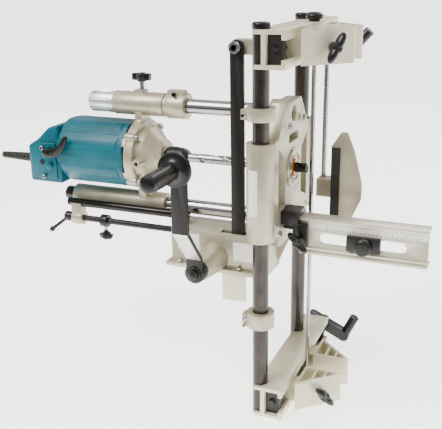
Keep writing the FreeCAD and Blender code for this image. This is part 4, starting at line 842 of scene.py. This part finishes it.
# -------------------- lever and knobs
@dataclass
class HandLever:
    """The moulded grip that turns on the lever's pin, the lever's nut and the painted highlight on its slanted
    face.
    """

    grip_z: float = HUB_Z + 183.0
    half_width: float = 12.0
    facet: Profile = ((-136.8, -39.5), (-181.8, 16.5))  # the arm's slanted front face, as (y, z)
    facet_rise: tuple[float, float] = (-0.5, -0.4)
    grip: Profile = ((184.8, 18.0), (185.6, 20.5), (188.0, 25.3), (190.0, 26.5), (193.8, 26.5), (195.6, 25.3),
                     (196.4, 21.5), (198.2, 15.5), (201.5, 12.9), (206.0, 12.3), (238.0, 12.9), (262.0, 13.4),
                     (270.0, 13.2), (274.4, 11.6), (276.2, 8.6), (276.6, 4.0))
    ribs: int = 10

    def build(self) -> None:
        """Make the grip, the nut and the painted highlight on the slanted face."""
        grip = Shape.turned(self.grip, 64)
        for i in range(self.ribs):
            rib = Shape.block((212.0, 264.0), (-0.7, 0.7), (12.6, 13.5)).softened(0.5, 2)
            grip.with_others(rib.turn("X", 360.0 / self.ribs * i))
        grip.to_front().move((HUB_X, 0, self.grip_z))
        grip.piece("lever_grip_moulding", "lever_grip", BLACK_NYLON, ["lever_grip"])
        washer = Shape.turned([(136.8, 12.0), (138.4, 12.0), (138.8, 11.4)], 40)
        nut = Shape.turned([(138.6, 8.6), (143.0, 8.6), (143.8, 7.8)], 6)
        dome = Shape.turned([(143.0, 6.6), (145.0, 6.0), (146.2, 3.0)], 24)
        washer.with_others(nut, dome).to_front().move((HUB_X, 0, HUB_Z))
        washer.piece("lever_nut", "lever", BLACKED, smooth_under=30.0)
        # a thin bright grey plate along the arm's slanted face: painted highlight where the bent arm catches
        # the light
        (y0, z0), (y1, z1) = self.facet
        out_y, out_z = self.facet_rise
        x = HUB_X - self.half_width
        face = Shape.swept([(x, y0, z0), (x, y1, z1), (x, y1 + out_y, z1 + out_z), (x, y0 + out_y, z0 + out_z)],
                           (2 * self.half_width, 0, 0))
        face.piece("lever_painted_highlight", "lever", LEVER_HIGHLIGHT_PAINT)


@dataclass
class WingKnobs:
    """Two-lobed moulded knobs on their studs."""

    jaw_face: float = 23.0
    jaw_base: float = 7.0
    jaw_depth: float = 62.0
    jaw_nose: float = 5.0
    share: float = 0.56  # how far along the slanted plate the jaw's knob stands
    clear: float = 0.3  # between the plate and the knob, which turns on it
    tilt: float = 35.0
    beam_place: Point = (4.0, -57.5, -14.0)

    def build(self) -> None:
        """Make the knobs of the front jaws and of the beam's bracket."""
        rise = self.jaw_depth - self.jaw_nose
        slope = math.atan2(rise, self.jaw_depth)
        x = self.jaw_base + self.jaw_depth * self.share + self.clear * math.sin(slope)
        y = -self.jaw_face - self.jaw_depth + rise * self.share - self.clear * math.cos(slope)
        for end, sign in (("top", 1), ("bottom", -1)):
            knob = Shape.wing_knob(20.0, 6.0, 24.0, 10.0).turn("X", -self.tilt * sign)
            knob.turn("Z", math.degrees(slope) - 90).move((x, y, sign * CLAMP_Z))
            node = end + "_front_wing_knob"
            knob.piece(node + "_moulding", end + "_wing_knob", BLACK_NYLON, [node])
        knob = Shape.wing_knob(19.0, 8.0, 21.0, 9.0).turn("X", 40).to_front().move(self.beam_place)
        knob.piece("beam_knob_moulding", "beam_knob", BLACK_NYLON, ["beam_knob"])


# -------------------- screws, rods and plates
@dataclass
class ClampScrews:
    """The two clamp screws: right-handed thread in front, left-handed behind, and the collar at the rear."""

    x: float = -22.5
    core: float = 5.1
    crest: float = 5.95
    lead: float = 12.0
    starts: int = 2
    front: float = -115.5
    rear: float = 150.0
    end: float = 202.5

    def build(self) -> None:
        """Make both screws."""
        rear = self.rear
        profile = [(self.front, 4.4), (self.front + 1.2, self.core), (rear, self.core), (rear + 0.2, 9.9),
                   (rear + 4, 9.9), (rear + 4.2, 6.0), (self.end, 6.0)]
        for end, sign in (("top", 1), ("bottom", -1)):
            screw = Shape.turned(profile)
            for start in range(self.starts):
                turn = 360.0 / self.starts * start
                screw.with_others(
                    Shape.thread(self.front + 3, -6.0, self.core, self.crest, self.lead).turn("X", turn),
                    Shape.thread(6.0, rear - 3, self.core, self.crest, -self.lead).turn("X", turn))
            screw.turn("Z", 90).move((self.x, 0, sign * CLAMP_Z))
            screw.piece(end + "_screw_threads", end + "_screw", BLACKED, [end + "_screw"])


@dataclass
class DepthStop:
    """The depth stop's threaded screw with its tommy bar."""

    left: float = -451.0  # the knob at its left end
    right: float = -218.2
    knob: float = 18.0  # the knob's length
    bar: Profile = ((-54.8, 2.0), (-53.4, 4.3), (-50.5, 5.4), (-48.0, 5.0), (-45.6, 3.4), (-45, 3), (0, 3))
    bar_slant: float = -37.0

    def build(self) -> None:
        """Make the stop screw."""
        x, neck = self.left, self.left + self.knob
        screw = Shape.turned([(x, 8.0), (x + 1, 9.0), (neck - 1.5, 9.0), (neck - 0.3, 8.4), (neck - 0.2, 5.2),
                              (self.right - 0.8, 5.2), (self.right, 4.6)])
        screw.with_others(Shape.thread(-412.0, -224.0, 5.1, 5.75, 4.0))
        bar = Shape.turned(self.bar, 32).turn("Y", self.bar_slant).move((x + 6, 0, 0))
        screw.with_others(bar).move((0, STOP_Y, STOP_Z))
        screw.piece("stop_screw_threads", "depth_stop_screw", BLACKED, ["stop_screw"])


@dataclass
class FlutedKnob:
    """The end knob of the upper sleeve: deep flutes, a domed cap and a plain band."""

    left: float = -398.0
    right: float = -347.3
    crest: float = 18.2
    root: float = 16.2
    flutes: int = 12

    def build(self) -> None:
        """Make the knob."""
        x = self.left
        outline = []
        for i in range(self.flutes):
            for share, reach in ((0.0, self.root), (0.26, self.root), (0.36, self.crest), (0.9, self.crest)):
                angle = math.tau / self.flutes * (i + share)
                outline.append((x + 4, reach * math.cos(angle), reach * math.sin(angle)))
        knob = Shape.swept(outline, (38.0, 0, 0)).softened(0.6, 2, 25.0)
        cap = Shape.turned([(x, 11.0), (x + 1, 14.5), (x + 4.5, 16.4), (x + 7, 16.4)])
        band = Shape.turned([(x + 40, 17.5), (x + 41, 18.5), (self.right - 1, 18.5), (self.right, 17.8)])
        knob.with_others(cap, band).move((0, 0, UPPER_ROD_Z))
        knob.piece("fluted_knob_body", "fluted_knob", TURNED, ["fluted_knob"], smooth_under=30.0)


@dataclass
class LinkBar:
    """The dark link bar and its pale slotted foot."""

    split_z: float = -49.0

    def build(self) -> None:
        """Make both parts of the link."""
        for name, finish, side, nodes in (("link_bar_upper", FLAT_BAR, -1, ["link_bar"]),
                                          ("link_foot", EXTRUSION, 1, [])):
            part = Shape.copy_of("link_bar").cut_away((0, 0, self.split_z), (0, 0, side)).softened(0.6)
            part.piece(name, "frame", finish, nodes)


@dataclass
class Fasteners:
    """Socket-head screws on the collars, carriage, housing, motor flange and rear cap."""

    collars: Sequence[Point] = ((-67.0, -119.5, 189.0), (-67.0, -119.5, -146.0), (-67.0, -119.5, -134.0))
    link_pivot: Point = (-105.0, -57.0, 277.5)
    plate: Sequence[Point] = ((-24, -38, 160), (-24, 38, 160), (-24, -82, -0.5), (-24, 82, -0.5))
    housing: Sequence[Point] = ((-206, -63, -78), (-98, -63, -78), (-64, -63, -78))
    flange_x: float = -289.0
    flange_y: float = 46.0
    flange_z: float = 38.0
    cap: Sequence[Point] = ((-475.0, -52.0, SPINDLE_Z + 8), (-475.0, -52.0, SPINDLE_Z - 43.5))

    def build(self) -> None:
        """Make the screws."""
        x, _, z = self.link_pivot
        heads = [Shape.socket_head(3.5, 4.0).turn("X", 90).move(at) for at in self.collars]
        pivot = Shape.socket_head(9.0, 5.0).turn("X", 90).move(self.link_pivot)
        shank = Shape.turned([(34.0, 5.0), (52.5, 5.0)]).to_front().move((x, 0, z))
        self._piece("frame_screw_heads", "frame", [*heads, pivot, shank], "frame_screws")
        heads = [Shape.socket_head(5.0, 4.0).turn("Y", 90).move(at) for at in self.plate]
        heads += [Shape.socket_head(3.5, 3.0).move(at) for at in self.housing]
        self._piece("carriage_screw_heads", "carriage", heads, "carriage_bolts")
        flange = [(self.flange_x, y * self.flange_y, SPINDLE_Z + z * self.flange_z)
                  for y in (-1, 1) for z in (-1, 1)]
        heads = [Shape.socket_head(4.5, 4.0).turn("Y", 90).move(at) for at in flange]
        heads += [Shape.socket_head(4.0, 4.4).turn("X", 90).move(at) for at in self.cap]
        self._piece("motor_screw_heads", "motor_head", heads, "head_screws")

    def _piece(self, name: str, body: str, heads: Sequence[Shape], node: str) -> None:
        """Join some screw heads into one piece, which stands for a CAD node."""
        Shape().with_others(*heads).piece(name, body, BRIGHT, [node], smooth_under=30.0)


@dataclass
class Sleeves:
    """Thin parts round bars: two bright stems, the lower rod's end cap, and the depth collar's screw."""

    stop_clamp_x: float = -368.5
    knob_x: float = -297.0
    rod_cap: Profile = ((-462.4, 10.5), (-461.6, 12.3), (-460.6, 12.9), (-443.0, 12.9))
    collar_screw: Point = (-229.0, -15.5, UPPER_ROD_Z + 21.0)

    def build(self) -> None:
        """Make the sleeves."""
        stem = Shape.turned([(197.2, 4.3), (211.5, 4.3)], 24).upright().move((self.knob_x, 0, 0))
        stem.piece("clamp_knob_stem", "sleeve_clamp_knob", BRIGHT)
        stem = Shape.turned([(-53.9, 3.3), (-47.9, 3.3)], 24).upright().move((self.stop_clamp_x, STOP_Y, 0))
        stem.piece("stop_clamp_stem", "depth_stop", BRIGHT)
        cap = Shape.turned(self.rod_cap, 48).move((0, 0, LOWER_ROD_Z))
        cap.piece("lower_rod_cap", "carriage", BLACK_NYLON)
        head = Shape.socket_head(4.0, 4.0).turn("X", 90).move(self.collar_screw)
        head.piece("depth_collar_screw", "motor_head", BLACKED, smooth_under=30.0)


@dataclass
class Plates:
    """Blank foil plates, and the scale on the beam."""

    sleeve_axis: Point = (-47.0, -100.5, 0.0)
    sleeve_radius: float = 22.0
    housing_y: tuple[float, float] = (-59.1, -58.4)
    beam_face: float = -48.7
    scale_left: float = 24.0
    scale_right: float = 196.0
    scale_low: float = 1.0
    scale_high: float = 12.0
    step: float = 4.0  # from one mark to the next
    long_every: int = 5

    def build(self) -> None:
        """Make the plates and the scale."""
        curved = Shape.arc_plate(self.sleeve_radius, 0.5, (-124.0, -84.0), (36.0, 108.0)).move(self.sleeve_axis)
        curved.piece("sleeve_plate", "carriage", FOIL)
        left = Shape.block((-210, -170), self.housing_y, (-58, -28)).softened(0.3, 1)
        right = Shape.block((-110, -62), self.housing_y, (-66, -34)).softened(0.3, 1)
        left.with_others(right).piece("housing_plates", "carriage", FOIL)
        y, low, high = self.beam_face, self.scale_low, self.scale_high
        band = Shape.block((22.2, 197.8), (y - 0.3, y + 0.4), (low + 0.2, high - 0.2))
        band.piece("scale_band", "carriage", FOIL)
        marks = Shape()
        for i in range(int((self.scale_right - self.scale_left) / self.step) + 1):
            x = self.scale_left + self.step * i
            tall = 3.2 if i % self.long_every else 6.0
            mark = Shape.block((x - 0.45, x + 0.45), (y - 0.5, y - 0.2), (low + 0.6, low + 0.6 + tall))
            marks.with_others(mark)
        marks.piece("scale_marks", "carriage", ENGRAVED)


# -------------------- studio
@dataclass
class Studio:
    """The floor that darkens towards the front, the white surroundings, the soft lights and the camera."""

    place: Point = (0.3192, -1.1115, 0.3971)
    right: Point = (0.921, 0.388, -0.015)
    down: Point = (0.111, -0.300, -0.948)
    lens_mm: float = 60.675
    sensor_mm: float = 36.0
    floor_gap_mm: float = 0.5
    floor_glow: float = 2.2
    floor_half: float = 30.0  # half of the floor's side, in metres
    fade_near: float = -0.45  # where the floor starts to darken towards the front, and where it ends
    fade_far: float = -1.8
    horizon: float = 0.45
    zenith: float = 1.1
    key_watts: float = 75.0
    fill_watts: float = 3.0
    back_watts: float = 25.0

    def build(self, lowest: float) -> None:
        """Make the floor, the world, the lights and the camera.

        Args:
            lowest: the object's lowest point, in metres.
        """
        self._floor(lowest - self.floor_gap_mm * MM)
        self._world()
        self._light("key", (-1.1, -1.2, 2.0), 1.3, self.key_watts)
        self._light("fill", (1.8, -1.4, 0.8), 1.2, self.fill_watts)
        self._light("back", (0.3, 1.8, 1.6), 1.6, self.back_watts)
        self._camera()

    def _floor(self, height: float) -> None:
        """Lay a wide floor, white under the object and darker towards the front.

        Args:
            height: the floor's height, in metres.
        """
        bm = bmesh.new()
        bmesh.ops.create_grid(bm, x_segments=1, y_segments=1, size=self.floor_half)
        bmesh.ops.translate(bm, vec=(0, 0, height), verts=bm.verts)
        mesh = bpy.data.meshes.new("floor")
        bm.to_mesh(mesh)
        bm.free()
        material = bpy.data.materials.new("studio_paper")
        material.use_nodes = True
        tree = material.node_tree
        shader = tree.nodes["Principled BSDF"]
        place = add_node(tree, "ShaderNodeTexCoord", {}, {}).outputs["Object"]
        depth = add_node(tree, "ShaderNodeSeparateXYZ", {}, {0: place}).outputs[1]
        # the grey stretch in front darkens the undersides of the bars
        fade = add_node(tree, "ShaderNodeMapRange", {"interpolation_type": "SMOOTHSTEP"}, {
            "Value": depth, "From Min": self.fade_far, "From Max": self.fade_near}).outputs[0]
        paper = add_node(tree, "ShaderNodeMix", {"data_type": "RGBA"}, {
            0: fade, 6: linear("565452"), 7: linear("F4F3F0")}).outputs[2]
        glow = add_node(tree, "ShaderNodeMath", {"operation": "MULTIPLY"}, {
            0: fade, 1: self.floor_glow}).outputs[0]
        tree.links.new(paper, shader.inputs["Base Color"])
        tree.links.new(glow, shader.inputs["Emission Strength"])
        shader.inputs["Emission Color"].default_value = linear("FFFFFF")
        shader.inputs["Roughness"].default_value = 0.95
        mesh.materials.append(material)
        floor = bpy.data.objects.new("floor", mesh)
        bpy.context.scene.collection.objects.link(floor)
        floor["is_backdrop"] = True

    def _world(self) -> None:
        """Surround the scene with white light that fades from the zenith down to the horizon."""
        world = bpy.data.worlds.new("soft_white")
        bpy.context.scene.world = world
        world.use_nodes = True
        tree = world.node_tree
        way = add_node(tree, "ShaderNodeTexCoord", {}, {}).outputs["Generated"]
        height = add_node(tree, "ShaderNodeSeparateXYZ", {}, {0: way}).outputs[2]
        light = add_node(tree, "ShaderNodeMapRange", {}, {
            "Value": height, "From Min": 0.0, "From Max": 0.8, "To Min": self.horizon,
            "To Max": self.zenith}).outputs[0]
        sky = tree.nodes["Background"]
        sky.inputs["Color"].default_value = linear("FFFFFF")
        tree.links.new(light, sky.inputs["Strength"])

    def _light(self, name: str, place: Point, size: float, watts: float) -> None:
        """Hang a square soft light that faces the object's middle.

        Args:
            name: the light's name.
            place: where it hangs, in metres.
            size: its side, in metres.
            watts: its power.
        """
        data = bpy.data.lights.new(name, "AREA")
        data.energy = watts
        data.size = size
        light = bpy.data.objects.new(name, data)
        light.location = place
        light.rotation_euler = (-Vector(place)).to_track_quat("-Z", "Y").to_euler()
        bpy.context.scene.collection.objects.link(light)

    def _camera(self) -> None:
        """Place the camera."""
        right = Vector(self.right).normalized()
        up = -Vector(self.down)
        up = (up - up.dot(right) * right).normalized()
        turn = Matrix((right, up, right.cross(up))).transposed().to_4x4()
        data = bpy.data.cameras.new("camera")
        data.lens = self.lens_mm
        data.sensor_width = self.sensor_mm
        camera = bpy.data.objects.new("camera", data)
        camera.matrix_world = Matrix.Translation(self.place) @ turn
        bpy.context.scene.collection.objects.link(camera)
        bpy.context.scene.camera = camera


def plain(bounds: Iterable[Iterable[float]]) -> list[list[float]]:
    """Return a box as plain lists of numbers."""
    return [[float(v) for v in corner] for corner in bounds]


def main() -> None:
    logging.basicConfig(level=logging.INFO, format="%(message)s")
    cad_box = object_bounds()
    record = frame["record"]
    slots = {part["node"]: part["material_slot"] for part in record["subparts"]}
    body_of = {node: body for body, nodes in record["behaviour"]["bodies"].items() for node in nodes}
    for group in (Motor(), Drive(), HandLever(), WingKnobs(), ClampScrews(), DepthStop(), FlutedKnob(),
                  LinkBar(), Fasteners(), Plates(), Sleeves()):
        group.build()
    EasedParts(body_of).build(slots)
    Studio().build(cad_box[0][2])


if __name__ == "__main__":
    main()
